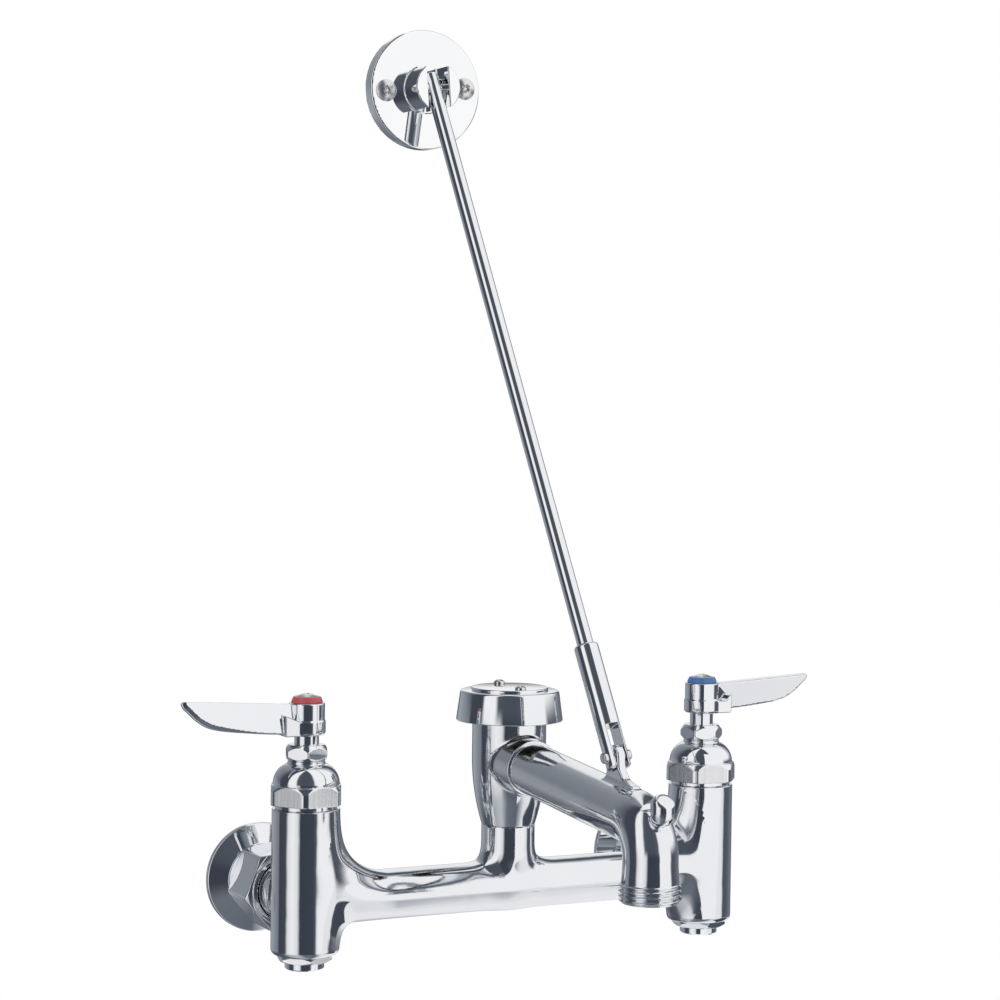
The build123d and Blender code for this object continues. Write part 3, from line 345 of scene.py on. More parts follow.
def addTurned(name, outline, body, place, around=96, **rest):  # outline: (radius, height, corner radius)
    keep = []
    for p in roundCorners(outline, 5):
        if not keep or math.dist(p, keep[-1]) > 1e-5:
            keep.append(p)
    if math.dist(keep[0], keep[-1]) < 1e-5:
        keep.pop()
    points = np.array(keep)
    count = len(points)
    ahead = np.roll(points, -1, 0) - points
    ahead /= np.linalg.norm(ahead, axis=1)[:, None]
    behind = np.roll(ahead, 1, 0)
    sharp = (ahead * behind).sum(1) < math.cos(math.radians(22))
    rows = []  # point, normal and number for each side of a sharp corner
    for i in range(count):
        for d in ((behind[i], ahead[i]) if sharp[i] else ((ahead[i] + behind[i]) / 2,)):
            rows.append((points[i], np.array((d[1], -d[0])) / np.linalg.norm(d), i))
    angles = np.arange(around) * 2 * math.pi / around
    verts, normals, faces = [], [], []
    for point, normal, i in rows:
        for a in angles:
            verts.append((point[0] * math.cos(a), point[0] * math.sin(a), point[1]))
            normals.append((normal[0] * math.cos(a), normal[0] * math.sin(a), normal[1]))
    for r, (point, normal, i) in enumerate(rows):
        following = (r + 1) % len(rows)
        nextPoint, nextI = rows[following][0], rows[following][2]
        if i == nextI or max(point[0], nextPoint[0]) < 1e-6:
            continue
        for k in range(around):
            j = (k + 1) % around
            faces.append((r * around + k, r * around + j, following * around + j, following * around + k))
    return addPiece(name, (verts, faces, np.array(normals)), body, place=place, **rest)


def upAxis(x, y, z=0.0, turn=0.0):  # local z upward, turned by so many degrees
    return Matrix.Translation((x, y, z)) @ Matrix.Rotation(math.radians(turn), 4, "Z")


sides = {"hot": -1, "cold": 1}


def onColumn(side, z=0.0, turn=0.0):
    return upAxis(sides[side] * wallBody["inletX"], wallBody["columnY"], z, turn)


# wall body: two columns, the bridge, the riser and the inlet bosses in one casting
wallBody = {
    "inletX": 101.6, "columnY": -59.3, "columnRadius": 15.2, "top": 40.7, "foot": -24.6,
    "footRound": 2.6, "rimRound": 0.5, "bridgeY": -57.0, "bridgeZ": -1.2, "bridgeRadius": 11.25,
    "upperArc": 24.0, "lowerArc": 8.0, "armDepth": 12.6, "armTaper": (4, 42),
    "leastEase": 0.3, "armEase": 10.0, "armEaseFrom": (-6, 9), "sideEase": 30.0,
    "riserRadius": 12.35, "riserTop": 27.3, "riserFoot": 8.6, "riserFull": 14, "riserSquash": 1.4,
    "riserEase": 12.0, "edge": 0.3,
    "bossRadius": 14.0, "bossEnd": -29.0, "bossFillet": 2.0,
}


def wallBodyShape(x, y, z):
    b = wallBody
    away = b["inletX"] - np.abs(x)
    column = trimShape(reach(away, y - b["columnY"]) - b["columnRadius"], z - b["top"], b["rimRound"])
    column = trimShape(column, b["foot"] - z, b["footRound"])
    square = b["columnRadius"] ** 2 - (y - b["columnY"]) ** 2
    side = np.sqrt((square + reach(square, b["sideEase"])) / 2)  # where the arcs leave the column
    rise = arcRise(b["upperArc"], side, away)
    fall = arcRise(b["lowerArc"], side, away)
    share = 1 - ramp(away, *b["armTaper"])
    wide = b["bridgeRadius"] + (b["armDepth"] - b["bridgeRadius"]) * share
    middle = b["bridgeZ"] + (rise - fall) / 2
    tall = b["bridgeRadius"] + (rise + fall) / 2
    sideways = y - b["bridgeY"] - (b["columnY"] - b["bridgeY"]) * share
    across = reach(sideways, np.minimum(away, 0))
    near = reach(across / wide, (z - middle) / tall)
    arm = near * (near - 1) / np.maximum(reach(across / wide ** 2, (z - middle) / tall ** 2), 1e-6)
    body = easeShapes(column, arm, b["leastEase"] + b["armEase"] * ramp(away, *b["armEaseFrom"]))
    deep = b["riserFoot"] + (b["riserRadius"] - b["riserFoot"]) * ramp(z, b["bridgeZ"], b["riserFull"])
    below = np.minimum(z - b["bridgeZ"], 0) * b["riserSquash"]
    riser = reach(x, sideways * b["riserRadius"] / deep, below) - b["riserRadius"]
    body = easeShapes(body, trimShape(riser, z - b["riserTop"], b["edge"]), b["riserEase"])
    boss = np.maximum(reach(away, z) - b["bossRadius"], b["columnY"] - y)
    boss = trimShape(boss, y - b["bossEnd"], b["edge"])
    return blendShapes(body, boss, b["bossFillet"])


def arcRise(radius, start, away):
    return radius - np.sqrt(np.maximum(radius ** 2 - np.clip(start + radius - away, 0, radius) ** 2, 0))


def addWallBody():
    xs = gridLines((-118, 118, 1.0))
    ys = gridLines((-75.6, -28.2, 1.0))
    zs = gridLines((-25.6, -21, 0.55), (-21, 39.6, 1.0), (39.6, 41.4, 0.25))
    addPiece("wallBodyCasting", netOf(wallBodyShape, xs, ys, zs), "faucet", "wall_body", finish=castChrome)


addWallBody()
print("wall body built")


# vacuum breaker: turned body with the boss that carries the spout
breaker = {
    "y": -57.0, "lowRadius": 12.35, "radius": 17.1, "low": 27.3, "shoulder": 58.5, "top": 79.0,
    "bossRoot": 13.9, "bossEnd": 12.8, "bossLength": 24.6, "bossFillet": 1.3, "bossEdge": 0.55,
    "topRound": 0.4, "lowRound": 0.25, "spoutHeight": 57.7, "spoutDrop": 4.6,
}
dropAngle = math.radians(breaker["spoutDrop"])


def alongSpout(x, y, z):  # distance out along the spout's axis and away from it
    forward, upward = -(y - breaker["y"]), z - breaker["spoutHeight"]
    out = forward * math.cos(dropAngle) - upward * math.sin(dropAngle)
    over = forward * math.sin(dropAngle) + upward * math.cos(dropAngle)
    return out, reach(x, over)


def breakerShape(x, y, z):
    b = breaker
    rise, inset = b["shoulder"] - b["low"], b["radius"] - b["lowRadius"]
    arc = (rise ** 2 + inset ** 2) / (2 * inset)
    under = np.clip(b["shoulder"] - z, 0, rise + 3)
    radius = b["radius"] - arc + np.sqrt(arc ** 2 - under ** 2)
    body = (reach(x, y - b["y"]) - radius) * np.cos(np.arctan(under / arc))
    body = trimShape(trimShape(body, z - b["top"], b["topRound"]), b["low"] - z, b["lowRound"])
    out, away = alongSpout(x, y, z)
    taper = (b["bossRoot"] - b["bossEnd"]) / b["bossLength"]
    boss = (away - b["bossRoot"] + taper * out) / math.sqrt(1 + taper ** 2)
    boss = trimShape(np.maximum(boss, -out), out - b["bossLength"], b["bossEdge"])
    return blendShapes(body, boss, b["bossFillet"])


def addBreaker():
    xs = gridLines((-18, 18, 0.6))
    ys = gridLines((-84.4, -80, 0.35), (-80, -39, 0.6))
    zs = gridLines((26.6, 28.2, 0.25), (28.2, 78, 0.6), (78, 79.6, 0.3))
    addPiece("breakerCasting", netOf(breakerShape, xs, ys, zs), "faucet", "breaker_body", finish=castChrome)


addBreaker()
print("breaker body built")


# spout: sloping tube, bend, hose thread, brace lug, pail knob and the notch behind it
spout = {
    "radius": 11.75, "bore": 8.8, "elbow": 15.5, "outletY": -190.4, "flare": 0.55, "flareFrom": 32.0,
    "flareReach": (170, 176), "shoulderRound": 0.35, "boreFrom": 84.0, "boreRound": 0.4,
    "threadTop": 22.6, "threadBottom": 14.4, "threadRoot": 12.1, "threadDepth": 1.25, "pitch": 2.21,
    "threadLand": 0.12, "threadFlank": 0.7,
    "lugY": -159.5, "lugZ": 71.5, "lugHole": 2.7, "lugThick": 4.2, "lugFillet": 2.2,
    "knobY": -200.0, "knobRadius": 4.9, "knobTop": 61.4, "knobFoot": 46.6, "knobFillet": 1.8,
    "knobFace": (-0.62, 0.785, 3.1), "knobWide": 1.06, "knobWaist": 0.9, "knobWaistFrom": (54, 47),
    "notchY": -192.5, "notchZ": 55.7, "notchRadius": 2.5, "notchRound": 0.5,
}


def spoutLine(x, y, z):  # distance from the tube's centre line
    reachOut = breaker["y"] - spout["outletY"]
    cornerZ = breaker["spoutHeight"] - reachOut * math.tan(dropAngle)
    tangent = spout["elbow"] * math.tan((math.pi / 2 - dropAngle) / 2)
    out, away = alongSpout(x, y, z)
    outEnd = (reachOut / math.cos(dropAngle)) - tangent
    first = reach(np.maximum(out - outEnd, 0), away)
    oy, oz = spout["outletY"] + spout["elbow"], cornerZ - tangent
    second = reach(x, y - spout["outletY"], np.maximum(z - oz, 0))
    ry, rz = y - oy, z - oz
    angle = np.arctan2(rz, -ry)
    onArc = (angle >= 0) & (angle <= math.pi / 2 - dropAngle)
    third = np.where(onArc, reach(x, reach(ry, rz) - spout["elbow"]), 1e3)
    return np.minimum(np.minimum(first, second), third), out


def threadShape(x, y, z):
    s = spout
    low, high = s["threadBottom"], s["threadTop"]
    radius, angle = reach(x, y - s["outletY"]), np.arctan2(y - s["outletY"], x)
    turn = (z / s["pitch"] - angle / (2 * math.pi)) % 1
    tooth = np.clip((1 - np.abs(2 * turn - 1) - s["threadLand"]) / s["threadFlank"], 0, 1)
    tooth = tooth * ramp(z, low + 0.1, low + 1.5) * ramp(-z, -high - 0.2, -high + 1.2)
    thread = (radius - s["threadRoot"] - s["threadDepth"] * tooth) * 0.7
    return trimShape(np.maximum(thread, z - high - 1), low - z, 0.3)


def knobShape(x, y, z):
    s = spout
    crown, foot = s["knobTop"] - s["knobRadius"], s["knobFoot"] + s["knobRadius"]
    high, low = s["knobWaistFrom"]
    thick = s["knobRadius"] - s["knobWaist"] * ramp(-z, -high, -low)
    knob = reach(x / s["knobWide"], y - s["knobY"], z - np.clip(z, foot, crown)) - thick
    faceY, faceZ, faceOut = s["knobFace"]
    return trimShape(knob, faceY * (y - s["knobY"]) + faceZ * (z - crown) - faceOut, 1.0)


lugPoints = roundCorners([
    (-6.2, -12, 0), (-5.2, -6.5, 3), (-5.2, 0, 0.1), (-4.5, 2.6, 1), (-2.6, 4.5, 1), (0, 5.2, 1),
    (2.6, 4.5, 1), (4.5, 2.6, 1), (5.2, 0, 0.1), (5.6, -4.4, 4), (9.5, -8.4, 4), (17, -10.6, 0),
    (17, -14, 0), (-6.2, -14, 0),
], 3)


def lugShape(x, y, z):
    flat = outlineDistance(-(y - spout["lugY"]), z - spout["lugZ"], lugPoints)
    plate = trimShape(flat, np.abs(x) - spout["lugThick"] / 2, 1.0)
    return trimShape(plate, spout["lugHole"] - reach(y - spout["lugY"], z - spout["lugZ"]), 0.3)


def spoutShape(x, y, z):
    s = spout
    line, out = spoutLine(x, y, z)
    low = ramp(-z, -s["flareFrom"], -s["threadTop"] + 2) * ramp(-y, *s["flareReach"])
    tube = np.maximum(line - s["radius"] - s["flare"] * low, breaker["bossLength"] - 3 - out)
    tube = trimShape(tube, s["threadTop"] - z, s["shoulderRound"])
    body = np.minimum(tube, threadShape(x, y, z))
    body = blendShapes(body, lugShape(x, y, z), s["lugFillet"])
    body = blendShapes(body, knobShape(x, y, z), s["knobFillet"])
    notch = reach(y - s["notchY"], np.minimum(z - s["notchZ"], 0)) - s["notchRadius"]
    body = trimShape(body, -notch, s["notchRound"])
    bore = np.minimum(s["bore"] - line, out - s["boreFrom"])  # only as far in as anyone can see
    return trimShape(body, bore, s["boreRound"])


def addSpout():
    xs = gridLines((-14.2, 14.2, 0.6))
    ys = gridLines((-206, -188, 0.5), (-188, -170, 0.6), (-170, -150, 0.5), (-150, -77.4, 0.8))
    zs = gridLines((13.6, 24, 0.24), (24, 78, 0.6))
    addPiece("spoutCasting", netOf(spoutShape, xs, ys, zs), "faucet", "spout", finish=castChrome)


addSpout()
print("spout built")


# valve tops: hexagon and dome in one bonnet, packing nut above it
bonnet = {
    "flats": 31.0, "low": 42.6, "high": 51.5, "turned": 17.2, "edge": 0.3,
    "upperCone": (15.6, 57), "lowerCone": (16.9, 40),
    "turn": {"hot": 23.0, "cold": 38.0}, "neck": 13.9, "dome": 14.9, "domeArc": 9.8,
    "collar": 8.4, "collarTop": 62.0, "neckLow": 40.7, "bore": 7.0,
}


def hexDistance(x, y, flats):  # distance outside a hexagon with a corner on the x axis
    spots = [math.radians(30 + 60 * k) for k in range(6)]
    return np.max([x * math.cos(a) + y * math.sin(a) for a in spots], axis=0) - flats / 2


def hexBar(x, y, z, bar):  # hexagon turned down at its corners, with coned, rounded ends
    away, edge = reach(x, y), bar["edge"]
    shape = trimShape(hexDistance(x, y, bar["flats"]), away - bar["turned"], edge)
    for end, (start, slope) in ((z - bar["high"], bar["upperCone"]), (bar["low"] - z, bar["lowerCone"])):
        angle = math.radians(slope)
        cone = (away - start) * math.sin(angle) + end * math.cos(angle)
        shape = trimShape(trimShape(shape, cone, edge), end, edge)
    return shape


def bonnetShape(x, y, z):
    b = bonnet
    away = reach(x, y)
    ring = b["dome"] - b["domeArc"]
    dome = reach(np.maximum(away - ring, 0), np.maximum(z - b["high"], 0)) - b["domeArc"]
    dome = np.maximum(dome, b["low"] + 1 - z)
    neck = np.maximum(away - b["neck"], np.maximum(z - b["low"] - 1, b["neckLow"] - z))
    collar = trimShape(np.maximum(away - b["collar"], b["high"] - z), z - b["collarTop"], 0.3)
    body = np.minimum(np.minimum(hexBar(x, y, z, b), neck), blendShapes(dome, collar, 0.5))
    return np.maximum(body, b["bore"] - away)


def addBonnets():
    across = gridLines((-18.6, 18.6, 0.46))
    net = verts, faces, normals = netOf(bonnetShape, across, across, gridLines((40.2, 62.6, 0.4)))
    middle, facing = verts[faces].mean(1), normals[faces].mean(1)
    onFlat = np.abs(hexDistance(middle[:, 0], middle[:, 1], bonnet["flats"])) < 0.06
    onFlat &= np.abs(facing[:, 2]) < 0.2
    for side in sides:
        place = onColumn(side, turn=-90 - bonnet["turn"][side])
        piece = addPiece(f"{side}BonnetTurned", net, "faucet", f"{side}_bonnet", place=place)
        piece.data.materials.append(satin)
        piece.data.polygons.foreach_set("material_index", onFlat.astype(np.int32))


packingNut = {
    "flats": 17.8, "low": 62.0, "high": 69.2, "turned": 10.15, "edge": 0.15,
    "upperCone": (7.9, 50), "lowerCone": (8.1, 45), "turn": {"hot": 12.0, "cold": 41.0}, "bore": 5.56,
}


def packingNutShape(x, y, z):
    return trimShape(hexBar(x, y, z, packingNut), packingNut["bore"] - reach(x, y), 0.2)


def addPackingNuts():
    across = gridLines((-10.8, 10.8, 0.3))
    net = netOf(packingNutShape, across, across, gridLines((61.7, 69.6, 0.26)))
    for side in sides:
        place = onColumn(side, turn=packingNut["turn"][side])
        addPiece(f"{side}PackingNutTurned", net, "faucet", f"{side}_packing_nut", place=place)


addBonnets()
addPackingNuts()
print("valve tops built")


# lever handles: turned hub, neck block with a ledge, leaning blade with a ground edge
handle = {
    "seat": {"hot": 73.4, "cold": 74.8}, "turn": {"hot": 180.0, "cold": 0.0},
    "hub": 8.0, "skirt": 8.4, "skirtHeight": 6.0, "height": 14.3,
    "neckLength": 12.6, "neckHalfWidth": 6.8, "ledgeLow": 5.6, "ledgeHigh": 9.2, "ledgeRun": 8.6,
    "bladeLength": 58.4, "bladeRise": 3.4, "bladeHeight": 12.9, "bladeFoot": 0.8, "bladeThick": 3.4,
    "bladeOffset": 1.2, "bladeTilt": 13.0, "bladeRound": 0.4, "groundWidth": 1.9, "groundDepth": 1.1,
    "backWidth": 1.1, "backDepth": 0.8,
    "hubRound": 0.5, "footRound": 1.5, "hubFillet": 0.7, "bladeFillet": 0.5,
}


def curveThrough(points, first, last, steps=12):  # smooth curve with the given end directions
    count = len(points)
    spots = [np.array(p, float) for p in points]
    slopes = []
    for i in range(count):
        if i == 0 or i == count - 1:
            direction = np.array(first if i == 0 else last, float)
            gap = np.linalg.norm(spots[min(i + 1, count - 1)] - spots[max(i - 1, 0)])
            slopes.append(direction / np.linalg.norm(direction) * gap)
        else:
            slopes.append((spots[i + 1] - spots[i - 1]) / 2)
    curve = []
    for i in range(count - 1):
        a, b = spots[i], spots[i + 1]
        for s in range(steps):
            t = s / steps
            curve.append((2 * t ** 3 - 3 * t ** 2 + 1) * a + (t ** 3 - 2 * t ** 2 + t) * slopes[i]
                         + (3 * t ** 2 - 2 * t ** 3) * b + (t ** 3 - t ** 2) * slopes[i + 1])
    return [tuple(p) for p in curve] + [tuple(spots[-1])]


def bladeOutline():  # the edge that is ground, and the whole outline
    h = handle
    length = h["bladeLength"]
    topEnd = h["bladeHeight"] + (length - 2.0) * math.tan(math.radians(h["bladeRise"]))
    spots = [(h["neckLength"], 0), (length * 0.61, 2.0), (length * 0.785, 3.9), (length * 0.882, 7.1),
             (length * 0.95, 10.9), (length * 0.997, topEnd - 2.1)]
    lower = curveThrough(spots, (1, 0.04), (0.4, 1), 8)
    end = lower[-1][1]
    ground = lower + [(length + 0.35, end + 1.4), (length + 0.5, end + 3.0)]
    tip = [(length + 0.15, topEnd - 1.2), (length - 0.1, topEnd - 0.5), (length - 0.9, topEnd)]
    return ground, lower + tip + [(0, h["bladeHeight"]), (0, 0)]


edgePoints, bladePoints = bladeOutline()


def edgeDistance(u, v, line):
    return np.sqrt(np.min([toStretch(u, v, a, b) for a, b in zip(line, line[1:])], axis=0))


def handleShape(x, y, z):  # x out along the lever, z up from the hub's foot
    h = handle
    lean = math.radians(h["bladeTilt"])
    foot = h["bladeOffset"] + h["bladeHeight"] / 2 * math.sin(lean)
    up, over = z - h["bladeFoot"], y - foot
    along = up * math.cos(lean) - over * math.sin(lean)
    across = up * math.sin(lean) + over * math.cos(lean)
    flat = outlineDistance(x, along, bladePoints)
    width = 0.5 + (h["groundWidth"] - 0.5) * ramp(x, 22, 48)
    depth = h["groundDepth"] * width / h["groundWidth"]
    rim = edgeDistance(x, along, edgePoints)
    lack = depth * np.clip(1 - rim / width, 0, 1)
    backLack = h["backDepth"] * np.clip(1 - rim / h["backWidth"], 0, 1)
    front = (across - h["bladeThick"] / 2 + lack) * 0.93
    back = (backLack - across - h["bladeThick"] / 2) * 0.85
    blade = trimShape(flat, np.maximum(front, back), h["bladeRound"])
    away = reach(x, y)
    wall = h["hub"] + (h["skirt"] - h["hub"]) * ramp(-z, -h["skirtHeight"] - 0.8, -h["skirtHeight"])
    hub = trimShape(trimShape(away - wall, z - h["height"], h["hubRound"]), -z, h["footRound"])
    neck = h["neckLength"]
    straight = h["ledgeHigh"] - (neck - x) * (h["ledgeHigh"] - h["ledgeLow"]) / h["ledgeRun"]
    stepped = h["ledgeLow"] + (h["ledgeHigh"] - h["ledgeLow"]) * ramp(x, neck - 3.2, neck)
    ledge = np.where(y > foot - 1, np.maximum(straight, h["ledgeLow"]), stepped)
    block = trimShape(np.abs(y) - h["neckHalfWidth"], (z - ledge) * 0.9, 0.4)
    block = np.maximum(trimShape(trimShape(block, x - neck, 0.4), -z, 0.5), -x)
    return blendShapes(blendShapes(hub, block, h["hubFillet"]), blade, h["bladeFillet"])


def addHandles():
    xs = gridLines((-9.0, 14.0, 0.42), (14.0, 54.0, 0.7), (54.0, 59.6, 0.42))
    ys = gridLines((-9.0, 9.0, 0.4))
    zs = gridLines((-0.4, 18.2, 0.4))
    net = netOf(handleShape, xs, ys, zs)
    for side in sides:
        place = onColumn(side, handle["seat"][side], handle["turn"][side])
        addPiece(f"{side}HandleCasting", net, f"{side}_lever", f"{side}_handle", place=place)


addHandles()
print("handles built")


# lever trim: index rings and cross-recess screws
index = {"radius": 7.0, "top": 6.1, "height": 2.7, "edge": 0.7, "hole": 2.7}


handleScrew = {"radius": 4.7, "crown": 1.5, "slot": 0.5, "cutter": 2.7, "cutterHeight": 3.2}


def handleScrewShape(x, y, z):
    s = handleScrew
    ball = (s["radius"] ** 2 + s["crown"] ** 2) / (2 * s["crown"])
    head = trimShape(reach(x, y, z + ball - s["crown"]) - ball, -z, 0.1)
    bars = [trimShape(np.abs(across) - s["slot"], reach(along, z - s["cutterHeight"]) - s["cutter"], 0.1)
            for across, along in ((y, x), (x, y))]
    return trimShape(head, -np.minimum(*bars), 0.12)


def addLeverTrim():
    hole, radius, height = index["hole"], index["radius"], index["height"]
    across = gridLines((-5, 5, 0.2))
    net = netOf(handleScrewShape, across, across, gridLines((-0.25, 1.8, 0.14)))
    for side in sides:
        top = handle["seat"][side] + handle["height"]
        ring = [(hole, top, 0), (radius, top, 0.2), (radius, top + index["edge"], 0.5),
                (index["top"], top + height, 0.45), (hole, top + height, 0)]
        slot = f"{side}_index"
        addTurned(f"{side}IndexRingMoulded", ring, f"{side}_lever", onColumn(side),
                  stands=f"{side}_index_ring", slot=slot, finish=slotMaterial[slot])
        addPiece(f"{side}HandleScrewTurned", net, f"{side}_lever", f"{side}_handle_screw",
                 finish=paleSteel, slot="steel", place=onColumn(side, top + height))


addLeverTrim()
print("lever trim built")


# inlets at the wall: crowned flanges and hexagonal coupling nuts
inlet = {
    "flange": 25.4, "rim": 2.4, "crown": 5.2, "spud": 15.85, "spudEnd": 27.0, "hole": 7.0,
    "flats": 35.0, "low": 12.5, "high": 37.1, "turned": 20.0, "edge": 0.5,
    "upperCone": (17.6, 32), "lowerCone": (17.6, 32), "front": 38.0, "turn": 9.5, "bore": 14.3, "lip": 16.4,
}


def roomAxis(x, turn=0.0):  # local z points from the wall into the room
    return upAxis(x, 0) @ Matrix.Rotation(math.pi / 2, 4, "X") @ upAxis(0, 0, 0, turn)


def couplingNutShape(x, y, z):
    n = inlet
    away = reach(x, y)
    lip = trimShape(np.maximum(away - n["lip"], n["low"] + 2 - z), z - n["front"], 0.35)
    return trimShape(blendShapes(hexBar(x, y, z, n), lip, 0.25), n["bore"] - away, 0.3)


def addInlets():
    n = inlet
    across = gridLines((-20.8, 20.8, 0.6))
    up = gridLines((12.0, 14.5, 0.4), (14.5, 35.5, 0.8), (35.5, 38.5, 0.34))
    net = netOf(couplingNutShape, across, across, up)
    flange = [(n["hole"], 0, 0), (n["flange"], 0, 0), (n["flange"], n["rim"], 0.9),
              (n["spud"], n["crown"], 0.8), (n["spud"], n["spudEnd"], 0.3), (n["hole"], n["spudEnd"], 0)]
    for side, sign in sides.items():
        x = sign * wallBody["inletX"]
        addPiece(f"{side}CouplingNutForged", net, "faucet", f"{side}_coupling_nut",
                 place=roomAxis(x, n["turn"]))
        addTurned(f"{side}WallFlangeSpun", flange, "faucet", roomAxis(x), stands=f"{side}_wall_flange")


# breaker cap: hood, disc and its two cross-recess screws
cap = {
    "y": -57.0, "low": 75.3, "high": 89.3, "lowRadius": 24.7, "highRadius": 22.8, "round": 1.3,
    "wall": 2.0, "roof": 3.4, "plate": 17.8, "plateThick": 1.4, "plateRound": 0.6,
    "screwCircle": 13.8, "screwTurn": 84.5, "head": 2.6, "headEdge": 0.8, "headCrown": 1.2,
    "crossReach": 1.7, "crossWidth": 0.34,
}


def crossScrewShape(radius, edge, crown, reachOut, width):
    ball = (radius ** 2 + crown ** 2) / (2 * crown)

    def shape(x, y, z):
        dome = reach(x, y, z + ball - crown - edge) - ball
        head = trimShape(trimShape(reach(x, y) - radius, dome, 0.3), -z, 0.1)
        middle = edge + crown - reachOut * 0.55 + reachOut
        across = np.maximum(np.abs(y) - width, reach(x, z - middle) - reachOut)
        along = np.maximum(np.abs(x) - width, reach(y, z - middle) - reachOut)
        return trimShape(head, -np.minimum(across, along), 0.08)
    return shape


def addCap():
    c = cap
    axis = upAxis(0, c["y"])
    roof, seat = c["high"] - c["roof"], c["high"] + c["plateThick"]
    outline = [(0, roof, 0), (c["highRadius"] - c["wall"], roof, 1.0),
               (c["lowRadius"] - c["wall"], c["low"], 0.3), (c["lowRadius"], c["low"], 0.5),
               (c["highRadius"], c["high"], c["round"]), (0, c["high"], 0)]
    hood = addTurned("breakerHoodSpun", outline, "faucet", axis, 144, stands="breaker_cap")
    hood.data.materials.append(paleSteel)
    for face in hood.data.polygons:  # the lining is duller than the outside
        outward = Vector((face.center.x, face.center.y - c["y"] * mm, 0)).normalized()
        if face.normal.z < -0.3 or face.normal.dot(outward) < -0.3:
            face.material_index = 1
    outline = [(0, c["high"], 0), (c["plate"], c["high"], 0),
               (c["plate"], seat, c["plateRound"]), (0, seat, 0)]
    addTurned("breakerDiscTurned", outline, "faucet", axis, 144, stands="breaker_cap_plate")
    shape = crossScrewShape(c["head"], c["headEdge"], c["headCrown"], c["crossReach"], c["crossWidth"])
    across = gridLines((-2.9, 2.9, 0.13))
    net = netOf(shape, across, across, gridLines((-0.2, 2.2, 0.13)))
    for i, turn in enumerate((c["screwTurn"], c["screwTurn"] + 180)):
        angle = math.radians(turn)
        x, y = c["screwCircle"] * math.cos(angle), c["y"] + c["screwCircle"] * math.sin(angle)
        addPiece(f"breakerCapScrew.{i}", net, "faucet", "breaker_cap_screws",
                 finish=brightSteel, slot="steel", place=upAxis(x, y, seat, 20 + 50 * i))


addInlets()
addCap()
print("inlets and cap built")


# brace: clevis with its pin, rod, wall plate with slotted stub, wall screws
brace = {
    "lower": (0, -159.5, 71.5), "upper": (-23.4, -15.6, 368.6),
    "clevisRadius": 5.35, "toe": 5.6, "clevisLength": 51.0, "slotWidth": 5.8, "slotLength": 13.6,
    "cut": 0.8, "pin": 2.4, "pinOut": 1.5, "pinRound": 0.9,
    "rod": 3.6, "rodStart": 24.0, "rodTip": 6.8, "flat": 6.4, "flatLength": 15.0, "play": 0.06,
    "plate": 28.0, "plateThick": 7.0, "plateRound": 0.9, "stub": 11.2, "stubLength": 14.6,
    "stubSlot": 10.8, "slotFloor": 0.8, "stubRound": 0.5, "stubPin": 2.0,
    "screwSpacing": 40.6, "screwHead": 5.4, "screwCrown": 2.4, "crossReach": 2.6, "crossWidth": 0.85,
    "screwShank": 2.4, "screwLength": 17.5,
}


def braceFrames():
    low, high = Vector(brace["lower"]), Vector(brace["upper"])
    along = (high - low).normalized()
    lean = math.atan2(-(high - low).x, (high - low).z)
    pin = Vector((math.cos(lean), 0, math.sin(lean)))
    across = along.cross(pin)
    turn = Matrix((pin, across, along)).transposed().to_4x4()
    outward = Vector((0, -1, 0))
    plateTurn = Matrix((pin, outward.cross(pin), outward)).transposed().to_4x4()
    return Matrix.Translation(low) @ turn, upAxis(high.x, 0, high.z) @ plateTurn, (high - low).length


def clevisShape(x, y, z):
    b = brace
    away = reach(x, y)
    body = away - b["clevisRadius"]
    for end in (-b["toe"] - z, z - b["clevisLength"]):
        body = trimShape(body, (away - b["clevisRadius"] + b["cut"] + end) * 0.7071, 0.3)
        body = trimShape(body, end, 0.2)
    slot = trimShape(np.abs(x) - b["slotWidth"] / 2, z - b["slotLength"], 0.4)
    body = trimShape(body, -slot, 0.3)
    return trimShape(body, np.minimum(b["rod"] + b["play"] - away, z - b["clevisLength"] + 4), 0.15)


def rodShape(x, y, z):
    b = brace
    end = braceLength + b["rodTip"]
    away = reach(x, y)
    bar = trimShape(away - b["rod"], z - end, 0.8)
    bar = np.maximum(bar, b["rodStart"] - z)
    ground = np.minimum(np.abs(x) - b["flat"] / 2, z - end + b["flatLength"])  # what the flats take away
    bar = trimShape(bar, ground, 0.25)
    return trimShape(bar, b["stubPin"] + b["play"] - reach(y, z - braceLength), 0.2)


def wallScrewShape(x, y, z):
    b = brace
    head = crossScrewShape(b["screwHead"], 0.0, b["screwCrown"], b["crossReach"], b["crossWidth"])(x, y, z)
    away = reach(x, y)
    point = (away - 0.2 - (z + b["screwLength"]) * 0.45) * 0.91
    shank = np.maximum(trimShape(away - b["screwShank"], point, 0.2), z - 0.4)
    return np.minimum(head, shank)


def plateShape(x, y, z):
    b = brace
    disc = trimShape(reach(x, y) - b["plate"], z - b["plateThick"], b["plateRound"])
    disc = trimShape(disc, -z, 0.3)
    top = b["plateThick"] + b["stubLength"]
    stub = trimShape(np.maximum(reach(x, y) - b["stub"], 1 - z), z - top, b["stubRound"])
    slot = trimShape(np.abs(x) - b["stubSlot"] / 2, b["plateThick"] + b["slotFloor"] - z, 0.5)
    stub = trimShape(stub, -slot, 0.35)
    return blendShapes(disc, stub, 0.5)


braceTurn, plateTurn, braceLength = braceFrames()


def addPin(name, radius, half, edge, body, place, stands):  # lies across the brace, along local x
    outline = [(0, -half, 0), (radius, -half, edge), (radius, half, edge), (0, half, 0)]
    addTurned(name, outline, body, place @ Matrix.Rotation(math.pi / 2, 4, "Y"), 40, stands=stands,
              slot="steel", finish=brightSteel)


